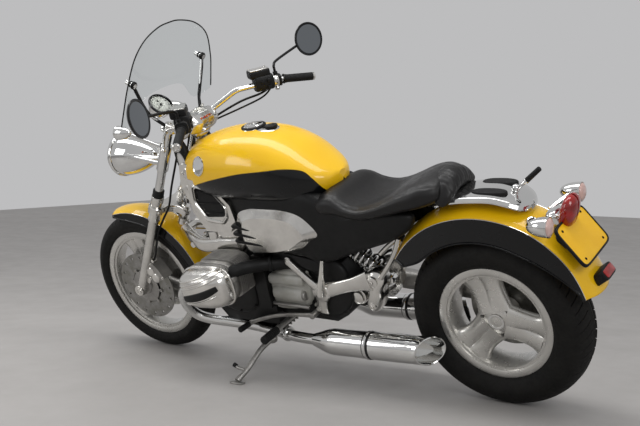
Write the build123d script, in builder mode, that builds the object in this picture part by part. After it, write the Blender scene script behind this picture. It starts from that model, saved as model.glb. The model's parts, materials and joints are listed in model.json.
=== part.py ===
"""Cruiser motorcycle: flat twin engine, pivoted front arm, shaft drive on the right.

The machine is drawn upright, +X forward, +Y to its left, +Z up, with the rear wheel's
contact point at X = 0, Z = 0. Each finished piece is then leaned over onto the side
stand and moved so that the whole machine's box stands centred on the origin.
"""
from build123d import *
import math
import os

os.makedirs("parts", exist_ok=True)

# ---------------------------------------------------------------- driving dimensions
WHEELBASE = 1650.0
LEAN = 20.0                 # degrees to the left, onto the side stand
RAKE = 29.5                 # steering axis from the vertical
TRAIL = 86.0                # steering axis ahead of the front contact point

REAR_R, REAR_W, REAR_CROWN, REAR_TREAD = 326.0, 170.0, 100.0, 70.0
FRONT_R, FRONT_W, FRONT_CROWN, FRONT_TREAD = 318.0, 100.0, 55.0, 40.0
REAR_FLANGE, REAR_SEAT, REAR_SEAT_HALF = 206.0, 190.0, 56.0
FRONT_FLANGE, FRONT_SEAT, FRONT_SEAT_HALF = 243.0, 229.0, 35.0
RIM_LIP = 5.0               # thickness of the rim's flanges and barrel
SPOKES = 3
SPOKE_START = 75.0          # angle of the first spoke above the forward direction
AXLE_FIT = 0.3              # radial running clearance of wheels on their axles

CROWN_LIFT = REAR_CROWN * (1 - math.cos(math.radians(LEAN)))
REAR_AXLE = Vector(0, 0, REAR_R)
FRONT_AXLE = Vector(
    WHEELBASE, 0,
    FRONT_R - (REAR_CROWN - FRONT_CROWN) * (1 / math.cos(math.radians(LEAN)) - 1))

# the leaned machine is shifted so that its box is centred over the origin
SHIFT_X, SHIFT_Y = -774.0, -375.1
PARKED = Location((SHIFT_X, SHIFT_Y, CROWN_LIFT)) * Location((0, 0, 0), (-LEAN, 0, 0))

# the fork's own plane: X is forward of the steering axis, Y left, Z up along the axis
RAKE_SIN, RAKE_COS = math.sin(math.radians(RAKE)), math.cos(math.radians(RAKE))
FORK = Plane(origin=(WHEELBASE + TRAIL, 0, 0), x_dir=(RAKE_COS, 0, RAKE_SIN),
             z_dir=(-RAKE_SIN, 0, RAKE_COS))

LEG_HALF = 90.0             # fork legs each side of the middle
SLIDER_R, TUBE_R = 23.0, 17.5
AXLE_LOCAL = FORK.to_local_coords(FRONT_AXLE)
LEG_AHEAD = AXLE_LOCAL.X    # fork legs ahead of the steering axis
SLIDER_TOP, LEG_TOP = 828.0, 1165.0
BALL_HEIGHT = 722.0         # ball joint along the steering axis
TOP_BRIDGE = 1150.0         # underside of the top bridge along the steering axis
LOWER_BRIDGE = 748.0        # underside of the lower bridge
BRIDGE_T, BRIDGE_HALF = 16.0, 120.0
RISER_Y, RISER_TOP = 60.0, 1204.0
HEAD_LOW, HEAD_TOP = 1030.0, 1135.0

BAR_R, GRIP_R = 11.0, 16.0
MIRROR_R = 65.0
LAMP_R = 85.0

CYLINDER_X, CYLINDER_Z = 1035.0, 490.0
HEAD_OUT, COVER_OUT = 290.0, 372.0
MUFFLER_R, PIPE_R = 50.0, 21.0
STAND_PIVOT = Vector(905, 165, 212)
STAND_AXIS = Vector(-0.225, 0.378, 0.898).normalized()
STAND_FOOT_X, STAND_FOOT_Y = 938.0, 377.0

FENDER_WALL = 4.0


# ---------------------------------------------------------------- small shape helpers
def finish(builder, label):
    """Park the upright piece, name it and write it."""
    piece = builder.part.moved(PARKED)
    piece.label = label
    export_step(piece, f"parts/{label}.step")


def side(y):
    """Upright plane at Y = y whose own axes are the machine's X and Z."""
    return Plane.XZ.offset(-y)


def section(x):
    """Upright plane across the machine at X = x: own axes are Y and Z."""
    return Plane(origin=(x, 0, 0), x_dir=(0, 1, 0), z_dir=(1, 0, 0))


def wheel_section(axle):
    """Plane through an axle: own axes are sideways and radially up."""
    return Plane(origin=axle, x_dir=(0, 1, 0), z_dir=(1, 0, 0))


def wheel_face(axle, y):
    """Plane of a wheel's side at Y = y, centred on its axle."""
    return Plane(origin=(axle.X, y, axle.Z), x_dir=(1, 0, 0), z_dir=(0, -1, 0))


def fork_point(x, y, z):
    """Machine coordinates of a point given in the fork's own plane."""
    return FORK.from_local_coords(Vector(x, y, z))


def add_rod(start, end, radius, mode=Mode.ADD):
    """Round bar between two points."""
    start, end = Vector(start), Vector(end)
    with BuildSketch(Plane(origin=start, z_dir=end - start)) as disc:
        Circle(radius)
    extrude(disc.sketch, amount=(end - start).length, mode=mode)


def add_taper(start, end, radius_start, radius_end, mode=Mode.ADD):
    """Round tapered bar between two points."""
    start, end = Vector(start), Vector(end)
    with BuildSketch(Plane(origin=start, z_dir=end - start)) as first:
        Circle(radius_start)
    with BuildSketch(Plane(origin=end, z_dir=end - start)) as last:
        Circle(radius_end)
    loft([first.sketch.faces()[0], last.sketch.faces()[0]], mode=mode)


def add_tube(points, bends, radius, mode=Mode.ADD):
    """Round bar along straight runs that are joined by tangent arcs."""
    with BuildLine() as path:
        FilletPolyline(*points, radius=bends)
    with BuildSketch(path.line ^ 0) as disc:
        Circle(radius)
    sweep(disc.sketch, path=path.line, mode=mode)


def add_links(points, radius):
    """Straight round bars from point to point, with a ball where two of them meet."""
    for start, end in zip(points, points[1:]):
        add_rod(start, end, radius)
    for joint in points[1:-1]:
        with Locations(joint):
            Sphere(radius)


def add_plate(points, y_inner, y_outer, rounding=0.0, mode=Mode.ADD):
    """Flat plate with a side outline, between two distances from the middle."""
    with BuildSketch(side(y_outer)) as outline:
        with BuildLine():
            Polyline(*points, close=True)
        make_face()
        if rounding:
            fillet(outline.vertices(), rounding)
    extrude(outline.sketch, amount=y_outer - y_inner, mode=mode)


def add_bullet(start, direction, radius, length, mode=Mode.ADD):
    """Bullet housing: a flat face at the start, a long rounded tail behind it."""
    with BuildSketch(Plane(origin=start, x_dir=direction, z_dir=(0, 1, 0))) as half:
        with BuildLine():
            Line((0, 0), (0, radius))
            EllipticalCenterArc((0, 0), length, radius, 0, arc_size=90)
            Line((length, 0), (0, 0))
        make_face()
    revolve(half.sketch, axis=Axis(start, direction), mode=mode)


def add_sector(axle, radii, angles, y_low, y_high, mode=Mode.ADD):
    """Block between two radii and two angles about an axle, from one Y to another."""
    inner, outer = radii
    first, last = angles
    middle = (first + last) / 2

    def at(radius, angle):
        return (radius * math.cos(math.radians(angle)), radius * math.sin(math.radians(angle)))

    with BuildSketch(wheel_face(axle, y_high)) as outline:
        with BuildLine():
            ThreePointArc(at(inner, first), at(inner, middle), at(inner, last))
            Line(at(inner, last), at(outer, last))
            ThreePointArc(at(outer, last), at(outer, middle), at(outer, first))
            Line(at(outer, first), at(inner, first))
        make_face()
    extrude(outline.sketch, amount=y_high - y_low, mode=mode)


def trim(*neighbours):
    """Cut this piece back to where its neighbours begin."""
    for neighbour in neighbours:
        add(neighbour.part, mode=Mode.SUBTRACT)


# ---------------------------------------------------------------- wheels
def build_tyre(axle, outer_r, width, crown_r, tread_half, flange_r, seat_r, seat_half):
    """Tyre: round crown, bulging cheeks, and beads that sit in the rim."""
    shoulder_r = outer_r - crown_r + math.sqrt(crown_r ** 2 - tread_half ** 2)
    cheek_r = (shoulder_r + flange_r) / 2
    with BuildPart() as tyre:
        with BuildSketch(wheel_section(axle)):
            with BuildLine():
                ThreePointArc((-tread_half, shoulder_r), (0, outer_r), (tread_half, shoulder_r))
                ThreePointArc((tread_half, shoulder_r), (width / 2, cheek_r), (seat_half, flange_r))
                Polyline((seat_half, flange_r), (seat_half, seat_r),
                         (-seat_half, seat_r), (-seat_half, flange_r))
                ThreePointArc((-seat_half, flange_r), (-width / 2, cheek_r),
                              (-tread_half, shoulder_r))
            make_face()
        revolve(axis=Axis(axle, (0, 1, 0)))
    return tyre


def build_rim(axle, flange_r, seat_r, seat_half, hub_r, hub_left, hub_right, hub_cap, bore_r,
              spoke_face, spoke_depth, spoke_in, spoke_out):
    """Cast rim: barrel with flanges and steps, three slotted spokes and a hub.

    hub_cap is how much of the hub's left end stays closed over the axle.
    """
    lip = seat_half + RIM_LIP
    well_r = seat_r - 16
    inner_r = well_r - RIM_LIP
    step_1, step_2 = lip - 8, lip - 0.45 * seat_half
    with BuildPart() as rim:
        with BuildSketch(wheel_section(axle)):
            with BuildLine():
                Polyline((seat_half, flange_r), (lip, flange_r), (lip, seat_r - 6),
                         (step_1, seat_r - 8), (step_1, seat_r - 18), (step_2, seat_r - 20),
                         (step_2, inner_r), (-step_2, inner_r), (-step_2, seat_r - 20),
                         (-step_1, seat_r - 18), (-step_1, seat_r - 8), (-lip, seat_r - 6),
                         (-lip, flange_r), (-seat_half, flange_r), (-seat_half, seat_r),
                         (-seat_half / 2, well_r), (seat_half / 2, well_r),
                         (seat_half, seat_r), close=True)
            make_face()
        revolve(axis=Axis(axle, (0, 1, 0)))
        with BuildSketch(wheel_face(axle, spoke_face)):
            with PolarLocations(hub_r / 2, SPOKES, SPOKE_START):
                Polygon((0, -spoke_in), (inner_r + 3 - hub_r / 2, -spoke_out),
                        (inner_r + 3 - hub_r / 2, spoke_out), (0, spoke_in), align=None)
            slot_mid = (hub_r + inner_r) / 2 + 12
            with PolarLocations(slot_mid, SPOKES, SPOKE_START):
                SlotOverall(inner_r - hub_r - 26, spoke_in * 0.5, mode=Mode.SUBTRACT)
        extrude(amount=spoke_depth)
        with BuildSketch(wheel_face(axle, hub_left)):
            Circle(hub_r)
        extrude(amount=hub_left - hub_right)
        with BuildSketch(wheel_face(axle, hub_left - hub_cap)):
            Circle(bore_r)
        extrude(amount=hub_left - hub_cap - hub_right, mode=Mode.SUBTRACT)
    return rim


REAR_AXLE_R, FRONT_AXLE_R = 17.0, 12.0
REAR_HUB_LEFT, REAR_HUB_RIGHT = 40.0, -58.0
FRONT_HUB_HALF = 52.0

rear_tyre = build_tyre(REAR_AXLE, REAR_R, REAR_W, REAR_CROWN, REAR_TREAD,
                       REAR_FLANGE, REAR_SEAT, REAR_SEAT_HALF)
finish(rear_tyre, "rear_tyre")
front_tyre = build_tyre(FRONT_AXLE, FRONT_R, FRONT_W, FRONT_CROWN, FRONT_TREAD,
                        FRONT_FLANGE, FRONT_SEAT, FRONT_SEAT_HALF)
finish(front_tyre, "front_tyre")

rear_rim = build_rim(REAR_AXLE, REAR_FLANGE, REAR_SEAT, REAR_SEAT_HALF, 50.0,
                     REAR_HUB_LEFT, REAR_HUB_RIGHT, 8.0, REAR_AXLE_R + AXLE_FIT,
                     32.0, 44.0, 36.0, 50.0)
finish(rear_rim, "rear_rim")
front_rim = build_rim(FRONT_AXLE, FRONT_FLANGE, FRONT_SEAT, FRONT_SEAT_HALF, 44.0,
                      FRONT_HUB_HALF, -FRONT_HUB_HALF, 0.0, FRONT_AXLE_R + AXLE_FIT,
                      18.0, 36.0, 32.0, 46.0)
finish(front_rim, "front_rim")

DISC_IN, DISC_OUT, DISC_T, DISC_Y, DISC_HOLES = 78.0, 152.0, 5.0, 60.0, 16
with BuildPart() as front_discs:
    with BuildSketch(wheel_face(FRONT_AXLE, DISC_Y)):
        Circle(DISC_OUT)
        Circle(DISC_IN, mode=Mode.SUBTRACT)
        with PolarLocations(DISC_OUT - 18, DISC_HOLES):
            Circle(6, mode=Mode.SUBTRACT)
    extrude(amount=DISC_T)
    with BuildSketch(wheel_face(FRONT_AXLE, DISC_Y - DISC_T + 2)):
        Circle(DISC_IN + 6)
        Circle(FRONT_AXLE_R + 4, mode=Mode.SUBTRACT)
    extrude(amount=DISC_Y - DISC_T + 2 - FRONT_HUB_HALF)
    mirror(about=Plane.XZ)
finish(front_discs, "front_discs")

REAR_DISC_Y = -62.0
with BuildPart() as rear_disc:
    with BuildSketch(wheel_face(REAR_AXLE, REAR_DISC_Y)):
        Circle(142)
        Circle(80, mode=Mode.SUBTRACT)
    extrude(amount=6)
    with BuildSketch(wheel_face(REAR_AXLE, REAR_HUB_RIGHT)):
        Circle(88)
        Circle(REAR_AXLE_R + 4, mode=Mode.SUBTRACT)
    extrude(amount=REAR_HUB_RIGHT - REAR_DISC_Y)
finish(rear_disc, "rear_disc")

with BuildPart() as rear_axle:
    add_rod((0, -84, REAR_AXLE.Z), (0, REAR_HUB_LEFT - 10, REAR_AXLE.Z), REAR_AXLE_R)
finish(rear_axle, "rear_axle")

AXLE_END = 116.0
with BuildPart() as front_axle:
    add_rod((FRONT_AXLE.X, -AXLE_END, FRONT_AXLE.Z), (FRONT_AXLE.X, AXLE_END, FRONT_AXLE.Z),
            FRONT_AXLE_R)
finish(front_axle, "front_axle")


# ---------------------------------------------------------------- mudguards
FRONT_GUARD = {"crown_r": 357.0, "border_r": 342.0, "skirt_r": 302.0, "half_width": 62.0}
REAR_GUARD = {"crown_r": 432.0, "border_r": 402.0, "skirt_r": 320.0, "half_width": 105.0}


def build_fender(axle, angles, piece, crown_r, border_r, skirt_r, half_width):
    """Mudguard: a section turned about the axle from one angle to another.

    The piece is its arched "crown", its two hanging "skirts", or the whole "space" from
    the wheel up to its outer skin.
    """
    border_half = half_width * 0.9
    inner_border_half, inner_border_r = border_half - FENDER_WALL, border_r - FENDER_WALL / 2
    start = math.radians(angles[0])
    outward = Vector(math.cos(start), 0, math.sin(start))
    across = Plane(origin=axle, x_dir=(0, 1, 0), z_dir=Vector(0, 1, 0).cross(outward))
    with BuildPart() as fender:
        with BuildSketch(across):
            if piece == "skirts":
                for flank in (1, -1):
                    with BuildLine():
                        Polyline((flank * border_half, border_r), (flank * half_width, skirt_r),
                                 (flank * (half_width - FENDER_WALL), skirt_r),
                                 (flank * inner_border_half, inner_border_r), close=True)
                    make_face()
            else:
                with BuildLine():
                    ThreePointArc((-border_half, border_r), (0, crown_r), (border_half, border_r))
                    if piece == "crown":
                        Line((border_half, border_r), (inner_border_half, inner_border_r))
                        ThreePointArc((inner_border_half, inner_border_r),
                                      (0, crown_r - FENDER_WALL),
                                      (-inner_border_half, inner_border_r))
                        Line((-inner_border_half, inner_border_r), (-border_half, border_r))
                    else:
                        Polyline((border_half, border_r), (half_width, skirt_r),
                                 (-half_width, skirt_r), (-border_half, border_r))
                make_face()
        revolve(axis=Axis(axle, (0, -1, 0)), revolution_arc=angles[1] - angles[0])
    return fender


REAR_SPAN, FRONT_SPAN = (32.0, 166.0), (72.0, 172.0)
rear_fender = build_fender(REAR_AXLE, REAR_SPAN, "crown", **REAR_GUARD)
finish(rear_fender, "rear_fender")
rear_fender_skirts = build_fender(REAR_AXLE, REAR_SPAN, "skirts", **REAR_GUARD)
finish(rear_fender_skirts, "rear_fender_skirts")
under_fender = build_fender(REAR_AXLE, REAR_SPAN, "space", **REAR_GUARD)
front_fender = build_fender(FRONT_AXLE, FRONT_SPAN, "crown", **FRONT_GUARD)
finish(front_fender, "front_fender")
front_fender_skirts = build_fender(FRONT_AXLE, FRONT_SPAN, "skirts", **FRONT_GUARD)


# ---------------------------------------------------------------- engine and drive
with BuildPart() as engine_block:
    add_plate([(1175, 300), (1175, 505), (1145, 540), (980, 540), (955, 566), (880, 566),
               (880, 256), (1140, 256)], -128, 128, 10)
    add_plate([(1090, 198), (1120, 258), (900, 258), (920, 198)], -80, 80, 8)
    add_plate([(938, 330), (938, 555), (884, 555), (884, 330)], -148, 148, 12)
finish(engine_block, "engine_block")

with BuildPart() as gearbox:
    add_plate([(879, 290), (879, 545), (800, 560), (600, 500), (560, 420), (560, 320),
               (620, 285)], -100, 100, 16)
    for rib_x in (710, 770, 830):
        add_plate([(rib_x, 320), (rib_x, 470), (rib_x + 8, 470), (rib_x + 8, 320)], 96, 108)
        add_plate([(rib_x, 320), (rib_x, 470), (rib_x + 8, 470), (rib_x + 8, 320)], -108, -96)
finish(gearbox, "gearbox")

FIN_COUNT, FIN_PITCH, FIN_T = 5, 17.0, 3.0
HEAD_IN = 232.0
with BuildPart() as cylinders:
    with BuildSketch(side(HEAD_OUT)):
        with Locations((CYLINDER_X, CYLINDER_Z)):
            RectangleRounded(150, 120, 30)
    extrude(amount=HEAD_OUT - 128)
    for fin in range(FIN_COUNT):
        with BuildSketch(side(146 + fin * FIN_PITCH + FIN_T)):
            with Locations((CYLINDER_X, CYLINDER_Z)):
                RectangleRounded(190, 160, 34)
        extrude(amount=FIN_T)
    with BuildSketch(side(HEAD_OUT)):
        with Locations((CYLINDER_X, CYLINDER_Z)):
            RectangleRounded(190, 160, 34)
    extrude(amount=HEAD_OUT - HEAD_IN)
    mirror(about=Plane.XZ)
finish(cylinders, "cylinders")

with BuildPart() as valve_covers:
    with BuildSketch(side(HEAD_OUT)):
        with Locations(Location((CYLINDER_X, CYLINDER_Z, 0), (0, 0, 12))):
            RectangleRounded(236, 156, 50)
    extrude(amount=-(COVER_OUT - HEAD_OUT), taper=14)
    fillet(valve_covers.faces().sort_by(Axis.Y)[-1].edges(), 14)
    mirror(about=Plane.XZ)
finish(valve_covers, "valve_covers")

with BuildPart() as intake:
    add_plate([(878, 570), (878, 735), (620, 735), (600, 640), (640, 590), (700, 562)], -56, 56, 12)
    for bank in (1, -1):
        add_tube([(700, bank * 50, 600), (800, bank * 110, 590), (885, bank * 250, 556),
                  (960, bank * 256, 526)], [40, 50], 27)
        add_rod((760, bank * 50, 670), (760, bank * 129, 670), 10)
    trim(cylinders, gearbox)
finish(intake, "intake")

TEARDROP = [(905, 722), (880, 740), (803, 748), (727, 753), (657, 735), (612, 700), (588, 656),
            (626, 632), (680, 592), (790, 572), (887, 566), (915, 600)]
with BuildPart() as intake_covers:
    add_plate(TEARDROP, 129, 172, 8)
    fillet(intake_covers.faces().sort_by(Axis.Y)[-1].edges(), 14)
    for slit in range(3):
        slit_z = 700 - 36 * slit
        add_plate([(930, slit_z - 6), (930, slit_z + 10), (840 - 12 * slit, slit_z - 8),
                   (850 - 12 * slit, slit_z - 20)], 155, 180, mode=Mode.SUBTRACT)
    mirror(about=Plane.XZ)
    trim(intake)
finish(intake_covers, "intake_covers")

HEADER = [(1060, 261, 462), (1215, 258, 452), (1275, 226, 360), (1235, 176, 268),
          (1080, 120, 232), (930, 108, 208), (800, 138, 216), (660, 150, 225)]
MUFFLER_FRONT, MUFFLER_REAR = Vector(630, 150, 226), Vector(215, 150, 243)
MUFFLER_WAY = (MUFFLER_REAR - MUFFLER_FRONT).normalized()
MUFFLER_TAIL = MUFFLER_REAR + MUFFLER_WAY * 50
with BuildPart() as exhausts:
    add_tube(HEADER, [52, 46, 50, 200, 260, 200], PIPE_R)
    add_taper(MUFFLER_FRONT - MUFFLER_WAY * 74, MUFFLER_FRONT, PIPE_R + 8, MUFFLER_R)
    add_rod(MUFFLER_FRONT, MUFFLER_REAR, MUFFLER_R)
    add_taper(MUFFLER_REAR, MUFFLER_TAIL, MUFFLER_R, MUFFLER_R * 0.84)
    add_rod(MUFFLER_TAIL - MUFFLER_WAY * 40, MUFFLER_TAIL + MUFFLER_WAY * 5, MUFFLER_R - 14,
            mode=Mode.SUBTRACT)
    mirror(about=Plane.XZ)
    trim(cylinders, engine_block)
finish(exhausts, "exhausts")

ARM_Y = -136.0
with BuildPart() as swingarm:
    add_rod((520, 75, 385), (520, -120, 385), 30)
    add_tube([(520, -112, 385), (430, -130, 365), (130, ARM_Y, 345), (20, -118, 330)],
             [150, 300], 36)
    add_rod((0, -84.5, REAR_AXLE.Z), (0, -168, REAR_AXLE.Z), 80)
    add_sector(REAR_AXLE, (70, 160), (20, 52), -106, -84.5)
    add_sector(REAR_AXLE, (96, 160), (20, 52), -85, -73)
    add_sector(REAR_AXLE, (148, 160), (20, 52), -74, -50)
    add_sector(REAR_AXLE, (96, 160), (20, 52), -57, -50)
finish(swingarm, "swingarm")

# ---------------------------------------------------------------- frames
BALL = fork_point(0, 0, BALL_HEIGHT)
with BuildPart() as front_arm:
    add_rod((1000, -118, 583), (1000, 118, 583), 17)
    add_tube([(1000, 105, 583), (1215, 98, 560), (1350, 30, 590)], [90], 17)
    add_tube([(1000, -105, 583), (1215, -98, 560), (1350, -30, 590)], [90], 17)
    add_rod((1352, -40, 590), (1352, 40, 590), 19)
    add_rod((1262, -104, 557), (1262, 104, 557), 12)
    add_rod((1350, 0, 590), fork_point(0, 0, BALL_HEIGHT - 14), 14)
    add_rod(fork_point(0, 0, BALL_HEIGHT - 24), fork_point(0, 0, BALL_HEIGHT + 4), 24)
finish(front_arm, "front_arm")

SLOT_OUT = [(1172, 858), (1052, 826), (985, 752), (975, 690), (1010, 640), (1130, 640),
            (1180, 720)]
SLOT_IN = [(1145, 822), (1055, 800), (1008, 740), (1020, 705), (1110, 700), (1150, 765)]
GRILLE_FACE, GRILLE_BAR, GRILLE_DEPTH = 119.0, 5.0, 8.0
with BuildPart() as front_frame:
    add_plate(SLOT_OUT, 112, 136, 10)
    add_plate(SLOT_IN, GRILLE_FACE, 150, 14, mode=Mode.SUBTRACT)
    with BuildSketch(side(GRILLE_FACE + GRILLE_DEPTH)):
        with Locations(*[(1080, 728 + 20 * bar) for bar in range(5)]):
            Rectangle(200, GRILLE_BAR)
        with BuildLine():
            Polyline(*SLOT_IN, close=True)
        make_face(mode=Mode.INTERSECT)
    extrude(amount=GRILLE_DEPTH + 1)
    mirror(about=Plane.XZ)
    add_plate([(1180, 790), (1235, 800), (1215, 905), (1150, 905), (1050, 800), (1050, 760)],
              -112, 112, 8)
    add_plate([(1125, 665), (1000, 665), (975, 690), (880, 690), (880, 567), (1112, 567)],
              -112, 112, 4)
    add_rod(fork_point(0, 0, HEAD_LOW), fork_point(0, 0, HEAD_TOP), 32)
    trim(front_arm)
finish(front_frame, "front_frame")

SHOCK_LOW, SHOCK_TOP = Vector(448, 30, 392), Vector(585, 30, 612)
SHOCK_RUN = SHOCK_TOP - SHOCK_LOW
with BuildPart() as shock_absorbers:
    add_rod((1262, 0, 566), (1196, 0, 792), 26)
    trim(front_frame, front_arm)
    add_rod(SHOCK_LOW, SHOCK_TOP, 20)
    for coil in range(6):
        coil_at = SHOCK_LOW + SHOCK_RUN * (0.16 + 0.12 * coil)
        add_rod(coil_at, coil_at + SHOCK_RUN * 0.045, 34)
    trim(swingarm)
finish(shock_absorbers, "shock_absorbers")

with BuildPart() as rear_frame:
    for rail in (1, -1):
        add_tube([(879, rail * 70, 612), (600, rail * 84, 655), (420, rail * 84, 690),
                  (290, rail * 68, 630)], [300, 120], 13)
        add_rod((640, rail * 90, 649), (640, rail * 90, 519), 11)
    add_rod((420, -110, 690), (420, 110, 690), 12)
    add_rod((600, -110, 655), (600, 110, 655), 12)
    trim(under_fender, intake, shock_absorbers, front_frame)
finish(rear_frame, "rear_frame")

with BuildPart() as footrest_plates:
    add_plate([(600, 352), (672, 352), (690, 430), (668, 520), (620, 530), (600, 440)],
              100, 126, 12)
    add_rod((770, 124, 528), (650, 132, 415), 9)
    add_rod((770, 100, 528), (770, 134, 528), 12)
    mirror(about=Plane.XZ)
    trim(gearbox, rear_frame)
finish(footrest_plates, "footrest_plates")

PEG_Z, PEG_X = 255.0, 868.0
with BuildPart() as footrests:
    add_rod((PEG_X, -190, PEG_Z), (PEG_X, 190, PEG_Z), 10)
    add_rod((PEG_X, 165, PEG_Z), (PEG_X - 6, 262, PEG_Z + 4), 15)
    add_rod((PEG_X, -165, PEG_Z), (PEG_X - 6, -262, PEG_Z + 4), 15)
    add_rod((PEG_X, 150, PEG_Z), STAND_PIVOT + STAND_AXIS * 26, 9)
    add_rod(STAND_PIVOT - STAND_AXIS * 17, STAND_PIVOT + STAND_AXIS * 30, 9)
    add_rod(STAND_PIVOT - STAND_AXIS * 17, STAND_PIVOT - STAND_AXIS * 13, 15)
    for peg in (1, -1):
        add_taper((640, peg * 140, 415), (605, peg * 140, 545), 13, 9)
    trim(engine_block, gearbox, footrest_plates, exhausts)
finish(footrests, "footrests")


# ---------------------------------------------------------------- tank, seat and panels
def ellipse_section(x, half_width, low, wide, top):
    """Closed section at X = x: half an ellipse above the widest height, half below."""
    with BuildSketch(section(x)) as ring:
        with BuildLine():
            EllipticalCenterArc((0, wide), half_width, top - wide, 0, arc_size=180)
            EllipticalCenterArc((0, wide), half_width, wide - low, 180, arc_size=180)
        make_face()
    return ring.sketch.faces()[0]


TANK = [(1262, 40, 800, 838, 880), (1235, 78, 775, 840, 922), (1160, 125, 755, 845, 972),
        (1060, 158, 748, 850, 1005), (940, 174, 745, 850, 1019), (800, 174, 742, 845, 1008),
        (690, 158, 738, 840, 968), (600, 118, 742, 835, 905), (535, 50, 800, 830, 858)]
with BuildPart() as fuel_tank:
    loft([ellipse_section(*station) for station in TANK])
    add_plate([(1300, 700), (1300, 912), (1110, 912), (1030, 832), (960, 790), (500, 790),
               (500, 700)], -112.2, 112.2, mode=Mode.SUBTRACT)
    for flank in (1, -1):
        add_plate([(1300, 700), (1300, 812), (1176, 864), (1052, 832), (981, 757), (972, 700)],
                  min(flank * 100, flank * 220), max(flank * 100, flank * 220),
                  mode=Mode.SUBTRACT)
    add_rod(fork_point(0, 0, 980), fork_point(0, 0, 1200), 42, mode=Mode.SUBTRACT)
    trim(front_frame)
finish(fuel_tank, "fuel_tank")

with BuildPart() as filler_cap:
    add_rod((895, 0, 1000), (895, 0, 1030), 36)
    trim(fuel_tank)
finish(filler_cap, "filler_cap")

SEAT = [(532, 46, 800, 815, 842), (490, 100, 770, 790, 806), (430, 150, 735, 755, 768),
        (340, 164, 735, 762, 778), (250, 160, 752, 782, 805), (170, 140, 790, 812, 842),
        (120, 110, 812, 835, 862)]
with BuildPart() as seat:
    add_rod((96, -92, 868), (96, 92, 868), 38)
    fillet(seat.edges(), 16)
    loft([ellipse_section(*station) for station in SEAT])
    trim(fuel_tank)
finish(seat, "seat")

SKIRT = [(590, 740), (640, 600), (600, 512), (520, 548), (445, 590), (356, 621), (281, 640),
         (226, 684), (190, 735), (240, 748), (400, 730), (500, 750)]
with BuildPart() as side_covers:
    add_plate(SKIRT, 110, 124, 6)
    mirror(about=Plane.XZ)
    trim(seat, fuel_tank)
finish(side_covers, "side_covers")

with BuildPart() as rack_panel:
    add_plate([(230, 700), (205, 736), (150, 776), (60, 800), (-50, 804), (-130, 784), (-165, 756),
               (-160, 748), (-125, 770), (-50, 790), (60, 786), (144, 762), (196, 726), (222, 694)],
              -88, 88)
    for slot_y in (-44, 44):
        with BuildSketch(Plane.XY.offset(700)):
            with Locations((-20, slot_y), (75, slot_y)):
                SlotOverall(80, 42)
        extrude(amount=120, mode=Mode.SUBTRACT)
    add_rod((0, 0, 755), (0, 0, 792), 16)
    add_rod((130, 0, 745), (130, 0, 770), 16)
    add_rod((-106, 0, 782), (-205, 0, 868), 8)
    trim(under_fender, seat)
finish(rack_panel, "rack_panel")

PLATE_CENTRE, PLATE_NORMAL = Vector(-318, 0, 648), Vector(-0.8, 0, 0.6)
PLATE_PLANE = Plane(origin=PLATE_CENTRE, x_dir=(0, 1, 0), z_dir=PLATE_NORMAL)
with BuildPart() as number_plate:
    with BuildSketch(PLATE_PLANE):
        RectangleRounded(222, 156, 6)
    extrude(amount=-6)
    with BuildSketch(PLATE_PLANE.offset(-6)):
        Rectangle(90, 60)
    extrude(amount=-10)
    add_plate([(-369, 548), (-408, 552), (-420, 500), (-396.5, 494)], -42, 42)
    trim(under_fender)
finish(number_plate, "number_plate")

with BuildPart() as tail_light:
    add_plate([(-222, 690), (-292, 776), (-330, 752), (-286, 672), (-262, 655)], -55, 55, 6)
    trim(under_fender, number_plate)
finish(tail_light, "tail_light")

with BuildPart() as rear_turn_signals:
    add_rod((-200, 60, 700), (-240, 142, 735), 9)
    add_bullet((-272, 142, 735), (1, 0, 0), 32, 70)
    mirror(about=Plane.XZ)
    trim(under_fender, number_plate, tail_light)
finish(rear_turn_signals, "rear_turn_signals")


# ---------------------------------------------------------------- fork
with BuildPart() as fork_legs:
    for leg in (LEG_HALF, -LEG_HALF):
        add_rod(fork_point(LEG_AHEAD, leg, AXLE_LOCAL.Z - 22), fork_point(LEG_AHEAD, leg, SLIDER_TOP),
                SLIDER_R)
        add_rod(fork_point(LEG_AHEAD, leg, SLIDER_TOP), fork_point(LEG_AHEAD, leg, LEG_TOP), TUBE_R)
    add_rod((FRONT_AXLE.X, -AXLE_END, FRONT_AXLE.Z), (FRONT_AXLE.X, AXLE_END, FRONT_AXLE.Z),
            FRONT_AXLE_R, mode=Mode.SUBTRACT)
finish(fork_legs, "fork_legs")

with front_fender_skirts:
    for leg in (1, -1):
        add_rod(fork_point(LEG_AHEAD, leg * 56.5, 641), fork_point(LEG_AHEAD, leg * 74, 641), 10)
    trim(fork_legs)
finish(front_fender_skirts, "front_fender_skirts")

GRIP_END, GRIP_IN = Vector(887, 420, 1085), Vector(960, 300, 1112)
CLAMP = fork_point(24, RISER_Y, RISER_TOP)
BAR_SIDE = [GRIP_END, GRIP_IN, Vector(1070, 150, 1117), Vector(CLAMP.X, 84, CLAMP.Z)]
BAR_PATH = BAR_SIDE + [Vector(point.X, -point.Y, point.Z) for point in reversed(BAR_SIDE)]
with BuildPart() as handlebar:
    add_tube(BAR_PATH, [60, 60, 30, 30, 60, 60], BAR_R)
    for end in (1, -1):
        add_rod((GRIP_END.X, end * GRIP_END.Y, GRIP_END.Z), (GRIP_IN.X, end * GRIP_IN.Y, GRIP_IN.Z),
                8, mode=Mode.SUBTRACT)
finish(handlebar, "handlebar")

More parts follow.
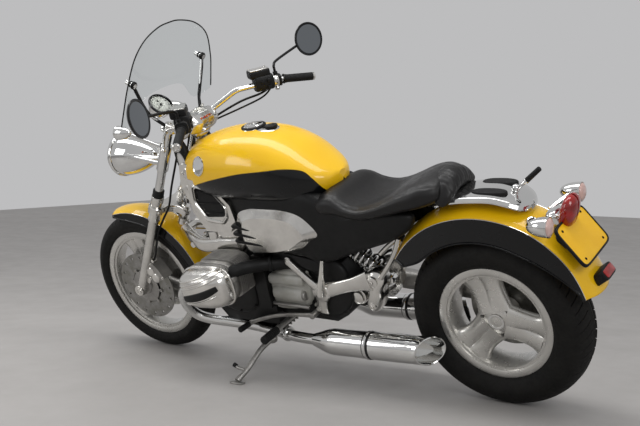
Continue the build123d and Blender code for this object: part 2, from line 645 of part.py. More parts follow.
with BuildPart() as fork_bridges:
    for height, back in ((TOP_BRIDGE, 24), (LOWER_BRIDGE, 22)):
        with BuildSketch(FORK.offset(height)):
            with BuildLine():
                Polyline((-back, -28), (-back, 28), (45, BRIDGE_HALF),
                         (LEG_AHEAD + 29, BRIDGE_HALF), (LEG_AHEAD + 29, -BRIDGE_HALF),
                         (45, -BRIDGE_HALF), close=True)
            make_face()
        extrude(amount=BRIDGE_T if height == TOP_BRIDGE else BRIDGE_T + 10)
    for riser in (-RISER_Y, RISER_Y):
        add_rod(fork_point(24, riser, TOP_BRIDGE + 10), fork_point(24, riser, RISER_TOP), 20)
        add_rod(fork_point(24, riser - 17, RISER_TOP), fork_point(24, riser + 17, RISER_TOP), 22)
    add_rod(fork_point(0, 0, HEAD_TOP + 1), fork_point(0, 0, TOP_BRIDGE + 4), 13)
    add_rod(fork_point(0, 0, BALL_HEIGHT + 5), fork_point(0, 0, LOWER_BRIDGE + 2), 13)
    trim(handlebar, fork_legs)
finish(fork_bridges, "fork_bridges")

GRIP_STOP = GRIP_IN + (GRIP_END - GRIP_IN).normalized() * 8
with BuildPart() as grips:
    add_rod(GRIP_END, GRIP_STOP, GRIP_R)
    add_rod(GRIP_END, GRIP_STOP, BAR_R, mode=Mode.SUBTRACT)
    mirror(about=Plane.XZ)
finish(grips, "grips")

CONTROL = GRIP_IN + (BAR_SIDE[2] - GRIP_IN).normalized() * 32
with BuildPart() as controls:
    add_rod(GRIP_IN + Vector(2, -3, 0), CONTROL, 24)
    add_rod(CONTROL + Vector(0, 0, 10), CONTROL + Vector(14, 0, 46), 22)
    mirror(about=Plane.XZ)
    trim(handlebar, grips)
finish(controls, "controls")

with BuildPart() as levers:
    add_tube([CONTROL + Vector(10, 8, 0), CONTROL + Vector(40, 40, -6),
              GRIP_END + Vector(52, 12, -4)], [20], 6)
    with Locations(GRIP_END + Vector(52, 12, -4)):
        Sphere(9)
    mirror(about=Plane.XZ)
    trim(controls)
finish(levers, "levers")

MIRROR_AT = Vector(938, 503, 1216)
MIRROR_PLANE = Plane(origin=MIRROR_AT, x_dir=(0, 1, 0), z_dir=(-1, 0, 0.1))
with BuildPart() as mirrors:
    with BuildSketch(MIRROR_PLANE):
        Circle(MIRROR_R)
    extrude(amount=-16, taper=22)
    add_tube([MIRROR_AT + Vector(8, 0, 0), MIRROR_AT + Vector(40, -90, -10),
              CONTROL + Vector(30, 40, 66), CONTROL + Vector(14, 0, 40)], [30, 30], 6)
    mirror(about=Plane.XZ)
    trim(controls)
finish(mirrors, "mirrors")

LAMP_AT = Vector(1548, 0, 901)
with BuildPart() as headlight:
    with BuildSketch(Plane(origin=LAMP_AT, x_dir=(1, 0, 0), z_dir=(0, -1, 0))):
        with BuildLine():
            Polyline((80, 0), (80, LAMP_R), (45, LAMP_R))
            Spline((45, LAMP_R), (-40, LAMP_R * 0.78), (-100, LAMP_R * 0.36), (-118, 0),
                   tangents=((-1, 0), (0, -1)))
            Line((-118, 0), (80, 0))
        make_face()
    revolve(axis=Axis(LAMP_AT, (1, 0, 0)))
finish(headlight, "headlight")

with BuildPart() as headlight_lens:
    with BuildSketch(Plane(origin=LAMP_AT + Vector(80, 0, 0), x_dir=(1, 0, 0), z_dir=(0, -1, 0))):
        with BuildLine():
            Line((0, 0), (0, LAMP_R - 6))
            EllipticalCenterArc((0, 0), 22, LAMP_R - 6, 0, arc_size=90)
            Line((22, 0), (0, 0))
        make_face()
    revolve(axis=Axis(LAMP_AT, (1, 0, 0)))
finish(headlight_lens, "headlight_lens")

CLAMP_AT = Vector(1256, 198, 1253)
with BuildPart() as front_brackets:
    for arm in (1, -1):
        add_rod(fork_point(LEG_AHEAD, arm * LEG_HALF, 985), LAMP_AT + Vector(-20, arm * 70, 20), 9)
        add_rod(fork_point(LEG_AHEAD, arm * LEG_HALF, 1060), (1400, arm * 158, 1050), 7)
        add_bullet((1440, arm * 160, 1052), (-1, 0, 0), 28, 66)
        add_rod(fork_point(LEG_AHEAD, arm * LEG_HALF, 960),
                fork_point(LEG_AHEAD, arm * LEG_HALF, 1075), TUBE_R + 6)
        add_tube([(CLAMP_AT.X - 8, arm * CLAMP_AT.Y, CLAMP_AT.Z), (1262, arm * 150, 1120),
                  fork_point(LEG_AHEAD - 4, arm * LEG_HALF, TOP_BRIDGE + 8)], [40], 5)
        add_rod((CLAMP_AT.X - 16, arm * CLAMP_AT.Y, CLAMP_AT.Z - 8),
                (CLAMP_AT.X + 22, arm * CLAMP_AT.Y, CLAMP_AT.Z + 11), 9)
    trim(fork_legs, headlight, fork_bridges)
finish(front_brackets, "front_brackets")

SPEEDO_AT, SPEEDO_AXIS = Vector(1342, 0, 1112), Vector(0.72, 0, -0.69)
with BuildPart() as speedometer:
    add_bullet(SPEEDO_AT, SPEEDO_AXIS, 48, 62)
    add_rod(SPEEDO_AT + SPEEDO_AXIS * 30, fork_point(90, 0, TOP_BRIDGE + 8), 7)
    trim(fork_bridges)
finish(speedometer, "speedometer")

SCREEN_LOW = Vector(1310, 0, 1095)
SCREEN = Plane(origin=SCREEN_LOW, x_dir=(math.cos(math.radians(27)), 0, math.sin(math.radians(27))),
               z_dir=(-math.sin(math.radians(27)), 0, math.cos(math.radians(27))))
SCREEN_HALF, SCREEN_BOW, SCREEN_WALL = 262.0, 48.0, 4.0
with BuildPart() as windshield:
    with BuildSketch(SCREEN.offset(-60)):
        with BuildLine():
            ThreePointArc((0, -SCREEN_HALF), (SCREEN_BOW, 0), (0, SCREEN_HALF))
            Line((0, SCREEN_HALF), (-SCREEN_WALL, SCREEN_HALF))
            ThreePointArc((-SCREEN_WALL, SCREEN_HALF), (SCREEN_BOW - SCREEN_WALL, 0),
                          (-SCREEN_WALL, -SCREEN_HALF))
            Line((-SCREEN_WALL, -SCREEN_HALF), (0, -SCREEN_HALF))
        make_face()
    extrude(amount=460)
    with BuildSketch(Plane(origin=SCREEN_LOW, x_dir=(0, 1, 0), z_dir=SCREEN.x_dir).offset(-60)):
        with BuildLine():
            Spline((-SCREEN_HALF, 20), (-240, 165), (-150, 310), (0, 352), (150, 310), (240, 165),
                   (SCREEN_HALF, 20))
            Polyline((SCREEN_HALF, 20), (180, -20), (100, 70), (-100, 70), (-180, -20),
                     (-SCREEN_HALF, 20))
        make_face()
    extrude(amount=160, mode=Mode.INTERSECT)
    trim(front_brackets)
finish(windshield, "windshield")


CALIPER_SPAN = (126, 158)
with BuildPart() as front_calipers:
    add_sector(FRONT_AXLE, (92, 172), CALIPER_SPAN, 66, 98)
    add_sector(FRONT_AXLE, (159, 172), CALIPER_SPAN, 44, 68)
    add_sector(FRONT_AXLE, (92, 172), CALIPER_SPAN, 44, 49)
    mirror(about=Plane.XZ)
    trim(fork_legs)
finish(front_calipers, "front_calipers")


# ---------------------------------------------------------------- controls and stand
with BuildPart() as foot_controls:
    add_rod((700, 98, 322), (700, 152, 322), 10)
    add_links([(700, 138, 322), (880, 138, 300), (998, 160, 266)], 7)
    add_rod((998, 150, 266), (998, 232, 272), 10)
    add_rod((760, -98, 322), (760, -157, 322), 11)
    add_links([(760, -142, 322), (880, -142, 300), (990, -160, 262)], 8)
    add_rod((990, -152, 262), (990, -226, 266), 13)
    trim(gearbox, footrest_plates, exhausts, footrests)
finish(foot_controls, "foot_controls")


def floor_height(y):
    """Height of the floor under the leaned machine, in the upright drawing, at Y = y."""
    lean = math.radians(LEAN)
    return (y * math.sin(lean) - CROWN_LIFT) / math.cos(lean)


FLOOR_UP = Vector(0, -math.sin(math.radians(LEAN)), math.cos(math.radians(LEAN)))
STAND_FOOT = Vector(STAND_FOOT_X, STAND_FOOT_Y, floor_height(STAND_FOOT_Y))
FOOT_PLANE = Plane(origin=STAND_FOOT, x_dir=(1, 0, 0), z_dir=FLOOR_UP)
with BuildPart() as side_stand:
    add_rod(STAND_PIVOT - STAND_AXIS * 12, STAND_PIVOT + STAND_AXIS * 12, 19)
    add_rod(STAND_PIVOT, STAND_FOOT + FLOOR_UP * 12, 11)
    with BuildSketch(FOOT_PLANE):
        RectangleRounded(62, 40, 12)
    extrude(amount=8)
    add_rod(STAND_PIVOT + (STAND_FOOT - STAND_PIVOT) * 0.72, (985, 318, 168), 6)
    add_rod(STAND_PIVOT - STAND_AXIS * 30, STAND_PIVOT + STAND_AXIS * 30, 9.3, mode=Mode.SUBTRACT)
finish(side_stand, "side_stand")
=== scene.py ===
import json
import math

import bmesh
import bpy
import numpy as np
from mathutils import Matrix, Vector


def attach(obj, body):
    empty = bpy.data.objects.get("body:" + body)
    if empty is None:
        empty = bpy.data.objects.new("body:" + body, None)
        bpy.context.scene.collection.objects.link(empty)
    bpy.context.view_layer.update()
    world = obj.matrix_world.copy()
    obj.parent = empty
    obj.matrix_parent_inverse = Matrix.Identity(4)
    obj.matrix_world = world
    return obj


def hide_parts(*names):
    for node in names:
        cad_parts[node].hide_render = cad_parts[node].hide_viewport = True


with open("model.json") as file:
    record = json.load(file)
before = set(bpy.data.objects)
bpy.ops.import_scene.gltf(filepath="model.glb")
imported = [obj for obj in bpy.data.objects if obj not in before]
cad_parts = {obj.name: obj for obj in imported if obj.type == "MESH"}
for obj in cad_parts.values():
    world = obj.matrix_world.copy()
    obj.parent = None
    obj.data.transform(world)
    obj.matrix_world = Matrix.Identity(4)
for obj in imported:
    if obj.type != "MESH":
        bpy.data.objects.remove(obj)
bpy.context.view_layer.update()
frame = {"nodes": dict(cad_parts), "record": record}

NODES = frame["nodes"]
JOINTS = {joint["name"]: joint for joint in frame["record"]["behaviour"]["joints"]}

# The machine leans on its stand. Its own upright axes come from the rear wheel's joint.
LEFT = np.array(JOINTS["rear_wheel_spin"]["axis"])
AHEAD = np.array([1.0, 0.0, 0.0])
UP = np.cross(AHEAD, LEFT)
REAR_R = 326.0  # outer radius of the rear tyre
ORIGIN = np.array(JOINTS["rear_wheel_spin"]["pos_m"]) - UP * REAR_R / 1000
TO_MACHINE = np.stack([AHEAD, LEFT, UP])
FRONT_HUB = TO_MACHINE @ (np.array(JOINTS["front_wheel_spin"]["pos_m"]) - ORIGIN) * 1000
REAR_HUB = np.array([0.0, 0.0, REAR_R])


# ------------------------------------------------------------------ materials
def linear(code):
    """sRGB hex to linear colour: c / 12.92 below 0.04045, else ((c + 0.055) / 1.055) ^ 2.4."""
    parts = [int(code[i:i + 2], 16) / 255 for i in (0, 2, 4)]
    return tuple(c / 12.92 if c <= 0.04045 else ((c + 0.055) / 1.055) ** 2.4 for c in parts) + (1.0,)


def node(tree, kind, links=(), **settings):
    """Add a node. A lower-case setting is its own property, a capital one an input's value."""
    made = tree.nodes.new(kind)
    for key, value in settings.items():
        if key[0].isupper():
            made.inputs[key.replace("_", " ")].default_value = value
        else:
            setattr(made, key, value)
    for key, socket in links:
        tree.links.new(socket, made.inputs[key])
    return made


def finish(name, colour, second=None, patch_mm=90.0, roughness=0.5, spread=0.06, grain_mm=None,
           depth_mm=0.02, cells=False, **shader):
    """A surface: two close tones in soft patches, uneven gloss, and a grain in relief.

    patch_mm and grain_mm are the real sizes of the patches and of the grain.
    """
    made = bpy.data.materials.new(name)
    made.use_nodes = True
    tree = made.node_tree
    tree.nodes.clear()
    place = node(tree, "ShaderNodeTexCoord").outputs["Object"]
    patches = node(tree, "ShaderNodeTexNoise", [("Vector", place)], Scale=1000 / patch_mm, Detail=5.0)
    tones = node(tree, "ShaderNodeValToRGB", [("Fac", patches.outputs["Fac"])])
    tones.color_ramp.elements[0].position = 0.35
    tones.color_ramp.elements[1].position = 0.65
    tones.color_ramp.elements[0].color = linear(colour)
    tones.color_ramp.elements[1].color = linear(second or colour)
    fine = node(tree, "ShaderNodeTexNoise", [("Vector", place)], Scale=4000 / patch_mm, Detail=6.0)
    gloss = node(tree, "ShaderNodeMapRange", [("Value", fine.outputs["Fac"])], From_Min=0.3, From_Max=0.7,
                 To_Min=max(roughness - spread, 0.02), To_Max=min(roughness + spread, 1.0))
    surface = node(tree, "ShaderNodeBsdfPrincipled",
                   [("Base Color", tones.outputs["Color"]), ("Roughness", gloss.outputs["Result"])],
                   **shader)
    if grain_mm:
        kind = "ShaderNodeTexVoronoi" if cells else "ShaderNodeTexNoise"
        grain = node(tree, kind, [("Vector", place)], Scale=1000 / grain_mm)
        relief = node(tree, "ShaderNodeBump", [("Height", grain.outputs[0])], Strength=1.0,
                      Distance=depth_mm / 1000)
        tree.links.new(relief.outputs["Normal"], surface.inputs["Normal"])
    out = node(tree, "ShaderNodeOutputMaterial", [("Surface", surface.outputs["BSDF"])])
    out.is_active_output = True
    return made


# Two-pack lacquer: flat colour under a clear coat, with the faint ripple of sprayed paint.
YELLOW_LACQUER = finish("Yellow_lacquer", "F6C40A", "F4C009", roughness=0.4, spread=0.04, grain_mm=6.0,
                        depth_mm=0.008, Specular_IOR_Level=0.3, Coat_Weight=0.6, Coat_Roughness=0.04)
BLACK_LACQUER = finish("Black_lacquer", "060709", "08090B", roughness=0.3, spread=0.04, grain_mm=6.0,
                       depth_mm=0.008, Specular_IOR_Level=0.2, Coat_Weight=0.35, Coat_Roughness=0.06)
# Chromed steel: a mirror with a slight wave left by the polishing.
CHROME = finish("Chromed_steel", "E4E4E2", "DADAD9", patch_mm=140, roughness=0.07, spread=0.03,
                grain_mm=60.0, depth_mm=0.1, Metallic=1.0)
# Polished cast aluminium: bright, slightly warm, with a soft haze.
POLISHED = finish("Polished_aluminium", "E2E0DB", "D2D0CC", patch_mm=60, roughness=0.2, spread=0.07,
                  grain_mm=14.0, depth_mm=0.03, Metallic=1.0)
# Wheel lacquer: silver flake under a clear coat, softer than polished metal.
WHEEL_SILVER = finish("Silver_wheel_lacquer", "D0CEC9", "C4C2BD", patch_mm=80, roughness=0.3, spread=0.05,
                      Metallic=0.75, Coat_Weight=0.5, Coat_Roughness=0.1)
# Blasted cast aluminium: grey, even, with the fine pits of the shot.
CASTING = finish("Blasted_aluminium", "A9A7A3", "959390", patch_mm=45, roughness=0.42, spread=0.1,
                 grain_mm=1.6, depth_mm=0.12, Metallic=0.85)
# Painted casting: light grey enamel over rough aluminium.
GREY_ENAMEL = finish("Grey_enamel", "A9A8A3", "98978F", patch_mm=50, roughness=0.42, spread=0.08,
                     grain_mm=2.0, depth_mm=0.08)
# Turned and ground steel: satin, its turning marks drawn as a faint even grain.
GROUND_STEEL = finish("Ground_steel", "9B9A98", "86857F", patch_mm=30, roughness=0.34, spread=0.08,
                      grain_mm=1.2, depth_mm=0.03, Metallic=1.0)
# Powder-coated steel: satin black with a slight orange peel.
BLACK_STEEL = finish("Powder_coated_steel", "0A0A0A", "100F0F", roughness=0.42, spread=0.08, grain_mm=2.2,
                     depth_mm=0.05, Specular_IOR_Level=0.3)
# Moulded ABS with an etched texture: soft black.
BLACK_ABS = finish("Moulded_ABS", "0B0B0B", "0F0F0F", roughness=0.52, spread=0.08, grain_mm=1.2,
                   depth_mm=0.05, Specular_IOR_Level=0.28)
# Tyre rubber: dark warm grey with dust in the tone and a fine matt skin.
TYRE_RUBBER = finish("Tyre_rubber", "0D0C0B", "141311", patch_mm=40, roughness=0.7, spread=0.1,
                     grain_mm=1.8, depth_mm=0.08, Specular_IOR_Level=0.25)
# Soft grip rubber: matt black with a dry skin.
SOFT_RUBBER = finish("Soft_rubber", "0C0C0C", "121212", roughness=0.62, spread=0.08, grain_mm=2.0,
                     depth_mm=0.1, Specular_IOR_Level=0.3)
# Saddle leather: black hide with pebbled grain and a low sheen.
SADDLE_LEATHER = finish("Saddle_leather", "0F0E0F", "151413", patch_mm=70, roughness=0.44, spread=0.1,
                        grain_mm=2.6, depth_mm=0.2, cells=True, Specular_IOR_Level=0.4)
# Cast acrylic sheet: clear and smooth. Its index is low, so that the thin sheet hardly bends the view.
CLEAR_ACRYLIC = finish("Clear_acrylic", "F2F5F5", roughness=0.02, spread=0.0, Transmission_Weight=1.0,
                       IOR=1.12)
# Pressed lamp glass: clear, its fine flutes drawn as a soft ripple.
LAMP_GLASS = finish("Lamp_glass", "EDF1F2", roughness=0.05, spread=0.02, Transmission_Weight=0.9, IOR=1.3,
                    grain_mm=9.0, depth_mm=0.3)
# Moulded polycarbonate lenses: deep colour, glossy face, prisms behind it.
RED_LENS = finish("Red_polycarbonate", "A30F0B", "7E0A08", patch_mm=30, roughness=0.12, spread=0.03,
                  grain_mm=4.0, depth_mm=0.25, cells=True, Coat_Weight=0.6)
AMBER_LENS = finish("Amber_polycarbonate", "D9680E", "B9520A", patch_mm=20, roughness=0.14, spread=0.03,
                    grain_mm=3.5, depth_mm=0.2, cells=True, Coat_Weight=0.6)
# Reflective sheet on pressed aluminium: flat yellow with a fine cell pattern.
PLATE_SHEET = finish("Plate_sheet", "F4BF10", "EFB80C", patch_mm=70, roughness=0.4, grain_mm=2.4,
                     depth_mm=0.03, cells=True)
# Moulded polycarbonate over a coloured bulb: pale pink, facetted inside.
PALE_LENS = finish("Clear_polycarbonate", "D9B8B0", "C9A59C", patch_mm=20, roughness=0.14, spread=0.03,
                   grain_mm=3.5, depth_mm=0.2, cells=True, Coat_Weight=0.6)
# Tell-tale lens: dyed polycarbonate.
GREEN_LENS = finish("Green_polycarbonate", "1E7A3C", "196531", patch_mm=10, roughness=0.2, spread=0.03)
# Printed dial: matt off-white enamel.
WHITE_DIAL = finish("Dial_enamel", "E4E2DA", "DCDAD0", spread=0.04)
# Silvered mirror glass: a plain, slightly dark mirror.
MIRROR_GLASS = finish("Silvered_glass", "7E8286", roughness=0.03, spread=0.0, Metallic=1.0)

# The CAD nodes that stay in sight.
for name, material in {"engine_block": BLACK_STEEL, "gearbox": BLACK_STEEL, "swingarm": CASTING,
                       "front_arm": POLISHED, "front_frame": POLISHED, "rear_frame": BLACK_STEEL,
                       "rear_axle": GROUND_STEEL, "handlebar": CHROME, "front_brackets": CHROME,
                       "front_calipers": CASTING, "front_axle": GROUND_STEEL, "front_discs": GROUND_STEEL,
                       "rear_disc": GROUND_STEEL}.items():
    slots = NODES[name].data.materials
    slots.clear()
    slots.append(material)


# ------------------------------------------------------------------ shapes
MERGE_M, DEGENERATE_M = 2e-6, 1e-7  # points closer than the first become one


def park(points):
    """Row-frame metres of upright machine millimetres: origin + x ahead + y left + z up."""
    points = np.asarray(points, float) / 1000
    return ORIGIN + points @ TO_MACHINE


def grid_faces(rows, cols, loop_rows=False, loop_cols=False):
    """Four-cornered faces between neighbouring points of a rows by cols grid."""
    i = np.arange(rows if loop_rows else rows - 1)
    j = np.arange(cols if loop_cols else cols - 1)
    i, j = (a.ravel() for a in np.meshgrid(i, j, indexing="ij"))
    i_next, j_next = (i + 1) % rows, (j + 1) % cols
    return np.stack([i * cols + j, i_next * cols + j, i_next * cols + j_next, i * cols + j_next], -1)


def make(name, parts, materials, body, stands_for=(), sharp_deg=40.0, wall_mm=0.0):
    """One finished piece from (points, faces) parts in machine millimetres.

    A part's third value is its material's place in the list, or 0 where it has none.
    Coincident points are merged, so poles and seams close, and normals turn outwards.
    """
    points, faces, numbers, offset = [], [], [], 0
    for grid, cells, *number in parts:
        grid = np.asarray(grid, float).reshape(-1, 3)
        points.append(grid)
        faces.append(np.asarray(cells) + offset)
        numbers.append(np.full(len(cells), number[0] if number else 0))
        offset += len(grid)
    mesh = bpy.data.meshes.new(name)
    mesh.from_pydata(park(np.concatenate(points)).tolist(), [], np.concatenate(faces).tolist())
    mesh.polygons.foreach_set("material_index", np.concatenate(numbers).astype(np.int32))
    for material in materials:
        mesh.materials.append(material)
    work = bmesh.new()
    work.from_mesh(mesh)
    bmesh.ops.remove_doubles(work, verts=work.verts, dist=MERGE_M)
    bmesh.ops.dissolve_degenerate(work, edges=work.edges, dist=DEGENERATE_M)
    bmesh.ops.recalc_face_normals(work, faces=work.faces)
    work.to_mesh(mesh)
    work.free()
    mesh.shade_smooth()
    mesh.set_sharp_from_angle(angle=math.radians(sharp_deg))
    piece = bpy.data.objects.new(name, mesh)
    bpy.context.scene.collection.objects.link(piece)
    if wall_mm:
        wall = piece.modifiers.new("wall", "SOLIDIFY")
        wall.thickness = wall_mm / 1000
        wall.offset = -1.0
    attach(piece, body)
    if stands_for:
        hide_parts(*stands_for)
    return piece


def smooth_line(points, count, closed=False):
    """Catmull-Rom curve through the points: each span is the cubic whose slopes are half
    the step between its neighbours. Returns count points, evenly spaced in the parameter."""
    points = np.asarray(points, float)
    spans = len(points) if closed else len(points) - 1
    t = np.linspace(0, spans, count, endpoint=not closed)
    k = np.minimum(t.astype(int), spans - 1)
    u = (t - k)[:, None]
    if closed:
        a, b, c, d = (points[(k + s) % len(points)] for s in (-1, 0, 1, 2))
    else:
        held = np.concatenate([2 * points[:1] - points[1:2], points, 2 * points[-1:] - points[-2:-1]])
        a, b, c, d = (held[k + s] for s in (0, 1, 2, 3))
    return 0.5 * (2 * b + (c - a) * u + (2 * a - 5 * b + 4 * c - d) * u ** 2 + (3 * b - a - 3 * c + d) * u
                  ** 3)


def turned(profile, centre, axis, count):
    """Surface of revolution: profile (distance along axis, radius) turned round it."""
    axis = np.asarray(axis, float) / np.linalg.norm(axis)
    across = np.cross(axis, [0.0, 0.0, 1.0] if abs(axis[2]) < 0.9 else [1.0, 0.0, 0.0])
    across /= np.linalg.norm(across)
    third = np.cross(axis, across)
    profile = np.asarray(profile, float)
    angle = np.linspace(0, 2 * np.pi, count, endpoint=False)[:, None, None]
    ring = np.cos(angle) * across + np.sin(angle) * third
    points = np.asarray(centre, float) + profile[None, :, :1] * axis + profile[None, :, 1:2] * ring
    return points, grid_faces(count, len(profile), loop_rows=True)


def carried(profile, path, up=(0, 0, 1), widths=None, ends=True):
    """Closed profile (sideways, upward) carried along a path; its sideways axis is
    up x direction, and widths scales it at each path point. Ends close at their middles."""
    path = np.asarray(path, float)
    ahead = np.gradient(path, axis=0)
    ahead /= np.linalg.norm(ahead, axis=1)[:, None]
    sideways = np.cross(np.asarray(up, float), ahead)
    sideways /= np.linalg.norm(sideways, axis=1)[:, None]
    upward = np.cross(ahead, sideways)
    widths = np.ones((len(path), 1)) if widths is None else np.asarray(widths, float).reshape(len(path), -1)
    profile = np.asarray(profile, float)
    if profile.ndim == 2:
        profile = np.broadcast_to(profile, (len(path),) + profile.shape)
    x = profile[..., :1] * widths[:, None, :1]
    z = profile[..., 1:2] * widths[:, None, -1:]
    points = path[:, None] + x * sideways[:, None] + z * upward[:, None]
    if ends:
        points = close_ends(points)
    return points, grid_faces(points.shape[0], points.shape[1], loop_cols=True)


def ring(count, radius=1.0, squash=1.0, power=2.0):
    """Closed superellipse profile: |x|^p + |z / squash|^p = radius^p."""
    angle = np.linspace(0, 2 * np.pi, count, endpoint=False)
    c, s = np.cos(angle), np.sin(angle)
    bulge = (np.abs(c) ** power + np.abs(s) ** power) ** (-1 / power)
    return np.stack([c * bulge * radius, s * bulge * radius * squash], -1)


def close_ends(rings):
    """The same rings with one more at each end, drawn in to its middle."""
    first, last = (np.broadcast_to(end.mean(0), end.shape)[None] for end in (rings[0], rings[-1]))
    return np.concatenate([first, rings, last])


def tube(path, radius, count=64, sides=12):
    """Round tube of one radius along a smooth line through the points."""
    return carried(ring(sides, radius), smooth_line(path, count))


def rod(start, end, radius, tip=None, soft=None, sides=28):
    """Round bar from radius to tip, its end edges cut back by soft."""
    start, end = np.asarray(start, float), np.asarray(end, float)
    length = float(np.linalg.norm(end - start))
    tip = radius if tip is None else tip
    e = min(radius * 0.16 if soft is None else soft, length / 3)
    profile = [(0, 0), (0, radius - e), (0.3 * e, radius - 0.3 * e), (e, radius), (length - e, tip),
               (length - 0.3 * e, tip - 0.3 * e), (length, tip - e), (length, 0)]
    return turned(profile, start, end - start, sides)


def slab(start, end, half_wide, half_tall, up=(0, 0, 1), power=6.0, soft=2.0, sides=32):
    """Bar with a superellipse section from start to end, its end edges cut back by soft."""
    start, end = np.asarray(start, float), np.asarray(end, float)
    length = float(np.linalg.norm(end - start))
    e = min(soft, length / 3)
    t = np.array([0, 0.3 * e, e, length - e, length - 0.3 * e, length]) / length
    cut = np.array([e, 0.3 * e, 0, 0, 0.3 * e, e])
    return carried(ring(sides, 1.0, 1.0, power), start + t[:, None] * (end - start), up,
                   np.stack([half_wide - cut, half_tall - cut], -1))


def bolt(place, axis, radius=6.0, height=5.0):
    """Socket-head bolt on a washer, standing on place along axis."""
    r, h = radius, height
    return turned([(-1, 0), (-1, 1.35 * r), (1, 1.35 * r), (1, r), (h - 0.7, r), (h, r - 0.7),
                   (h, 0.58 * r), (h - 2.5, 0.52 * r), (h - 2.5, 0)], place, axis, 18)


def coil(start, end, radius, wire, turns):
    """Helical spring: start + axis t + R (cos a, sin a), a = 2 pi turns t."""
    start, end = np.asarray(start, float), np.asarray(end, float)
    axis = (end - start) / np.linalg.norm(end - start)
    across = np.cross(axis, [0.0, 1.0, 0.0])
    across /= np.linalg.norm(across)
    third = np.cross(axis, across)
    t = np.linspace(0, 1, int(30 * turns))[:, None]
    a = 2 * np.pi * turns * t
    path = start + (end - start) * t + radius * (np.cos(a) * across + np.sin(a) * third)
    return carried(ring(10, wire), path, axis)


def ring_between(inner, outer, section):
    """Closed frame between two closed (x, z) lines; section rows are (share outwards, y)."""
    inner, outer = np.asarray(inner, float), np.asarray(outer, float)
    share = np.array([s for s, y in section])[None, :, None]
    spot = inner[:, None] + (outer - inner)[:, None] * share
    y = np.broadcast_to(np.array([y for s, y in section])[None, :, None], spot.shape[:2] + (1,))
    return (np.concatenate([spot[..., :1], y, spot[..., 1:]], -1),
            grid_faces(len(inner), len(section), True, True))


def both(parts):
    """The parts and their mirror images: y becomes -y, and the faces are turned over."""
    return parts + [(np.asarray(grid, float).reshape(-1, 3) * [1, -1, 1], np.asarray(cells)[:, ::-1],
                     *number) for grid, cells, *number in parts]


def arc(first, middle, last, count):
    """Points of the circle through three points, from the first to the last."""
    (ax, ay), (bx, by), (cx, cy) = first, middle, last
    d = 2 * (ax * (by - cy) + bx * (cy - ay) + cx * (ay - by))
    ux = ((ax ** 2 + ay ** 2) * (by - cy) + (bx ** 2 + by ** 2) * (cy - ay) + (cx ** 2 + cy ** 2)
          * (ay - by)) / d
    uy = ((ax ** 2 + ay ** 2) * (cx - bx) + (bx ** 2 + by ** 2) * (ax - cx) + (cx ** 2 + cy ** 2)
          * (bx - ax)) / d
    a0, a1, a2 = (math.atan2(y - uy, x - ux) for x, y in (first, middle, last))
    sweep = (a2 - a0) % (2 * math.pi)
    if (a1 - a0) % (2 * math.pi) > sweep:
        sweep -= 2 * math.pi
    angle = a0 + np.linspace(0, sweep, count)
    radius = math.hypot(ax - ux, ay - uy)
    return np.stack([ux + radius * np.cos(angle), uy + radius * np.sin(angle)], -1)


def round_hub(hub, across, radius, angle):
    """Machine points at a distance sideways, a radius and an angle about a wheel's axle."""
    return hub + np.stack([radius * np.cos(angle), across + 0 * angle, radius * np.sin(angle)], -1)


# ------------------------------------------------------------------ wheels
GROOVE_MM, RIB_GROOVE_MM = 4.5, 4.0  # depth of the chevron and of the ring grooves
SPOKES, FIRST_SPOKE_DEG = 3, 75


def build_tyre(name, hub, outer, width, crown, tread, flange, seat, seat_half, pitches, body):
    """Tyre: section = crown arc, two cheek arcs and the beads, turned round the axle.

    Rows lean with |y| so that each follows a chevron groove, and drop by its depth inside it.
    """
    shoulder = outer - crown + math.sqrt(crown ** 2 - tread ** 2)
    cheek = (shoulder + flange) / 2
    across = np.concatenate([[-1, -0.97], np.linspace(-0.93, -0.3, 9), [-0.27, -0.22, -0.19], [0.0],
                             [0.19, 0.22, 0.27], np.linspace(0.3, 0.93, 9), [0.97, 1]]) * tread
    top = np.stack([across, outer - crown + np.sqrt(crown ** 2 - across ** 2)], -1)
    wall = arc((tread, shoulder), (width / 2, cheek), (seat_half, flange), 16)[1:]
    wall[5:8, 0] += [0.9, 1.1, 0.5]
    wall[11:13, 0] += [1.0, 0.8]
    bead = np.array([(seat_half, seat), (-seat_half, seat)])
    section = np.concatenate([top, wall, bead, (wall * [-1, 1])[::-1]])
    steps = np.array([0, 0.16, 0.34, 0.52, 0.66, 0.70, 0.76, 0.80, 0.84])
    turn = (np.arange(pitches)[:, None] + steps).ravel() * 2 * np.pi / pitches
    in_groove = np.tile(np.array([0, 0, 0, 0, 0, 1, 1, 0, 0.0]), pitches)
    y, r = section[:, 0], section[:, 1]
    side_shift = np.where(y < 0, np.pi / pitches, 0.0)
    lean = side_shift + 0.62 * np.minimum(np.abs(y), tread) / outer
    mask = np.zeros(len(section))
    mask[:len(across)] = (np.abs(across) > 0.24 * tread) & (np.abs(across) < 0.95 * tread)
    rib = np.zeros(len(section))
    rib[:len(across)] = (np.abs(np.abs(across) / tread - 0.205) < 0.02)
    depth = GROOVE_MM * in_groove[:, None] * mask[None] + RIB_GROOVE_MM * rib[None]
    angle = turn[:, None] + lean[None]
    radius = r[None] - depth
    points = np.stack([hub[0] + radius * np.cos(angle), np.broadcast_to(y, angle.shape),
                       hub[2] + radius * np.sin(angle)], -1)
    make(name, [(points, grid_faces(*angle.shape, True, True), 0)], [TYRE_RUBBER], body,
         [body.replace("wheel", "tyre")], sharp_deg=35)


build_tyre("Rear_tyre", REAR_HUB, REAR_R, 170, 100, 70, 206, 190, 56, 56, "rear_wheel")
build_tyre("Front_tyre", FRONT_HUB, 318, 100, 55, 40, 243, 229, 35, 60, "front_wheel")


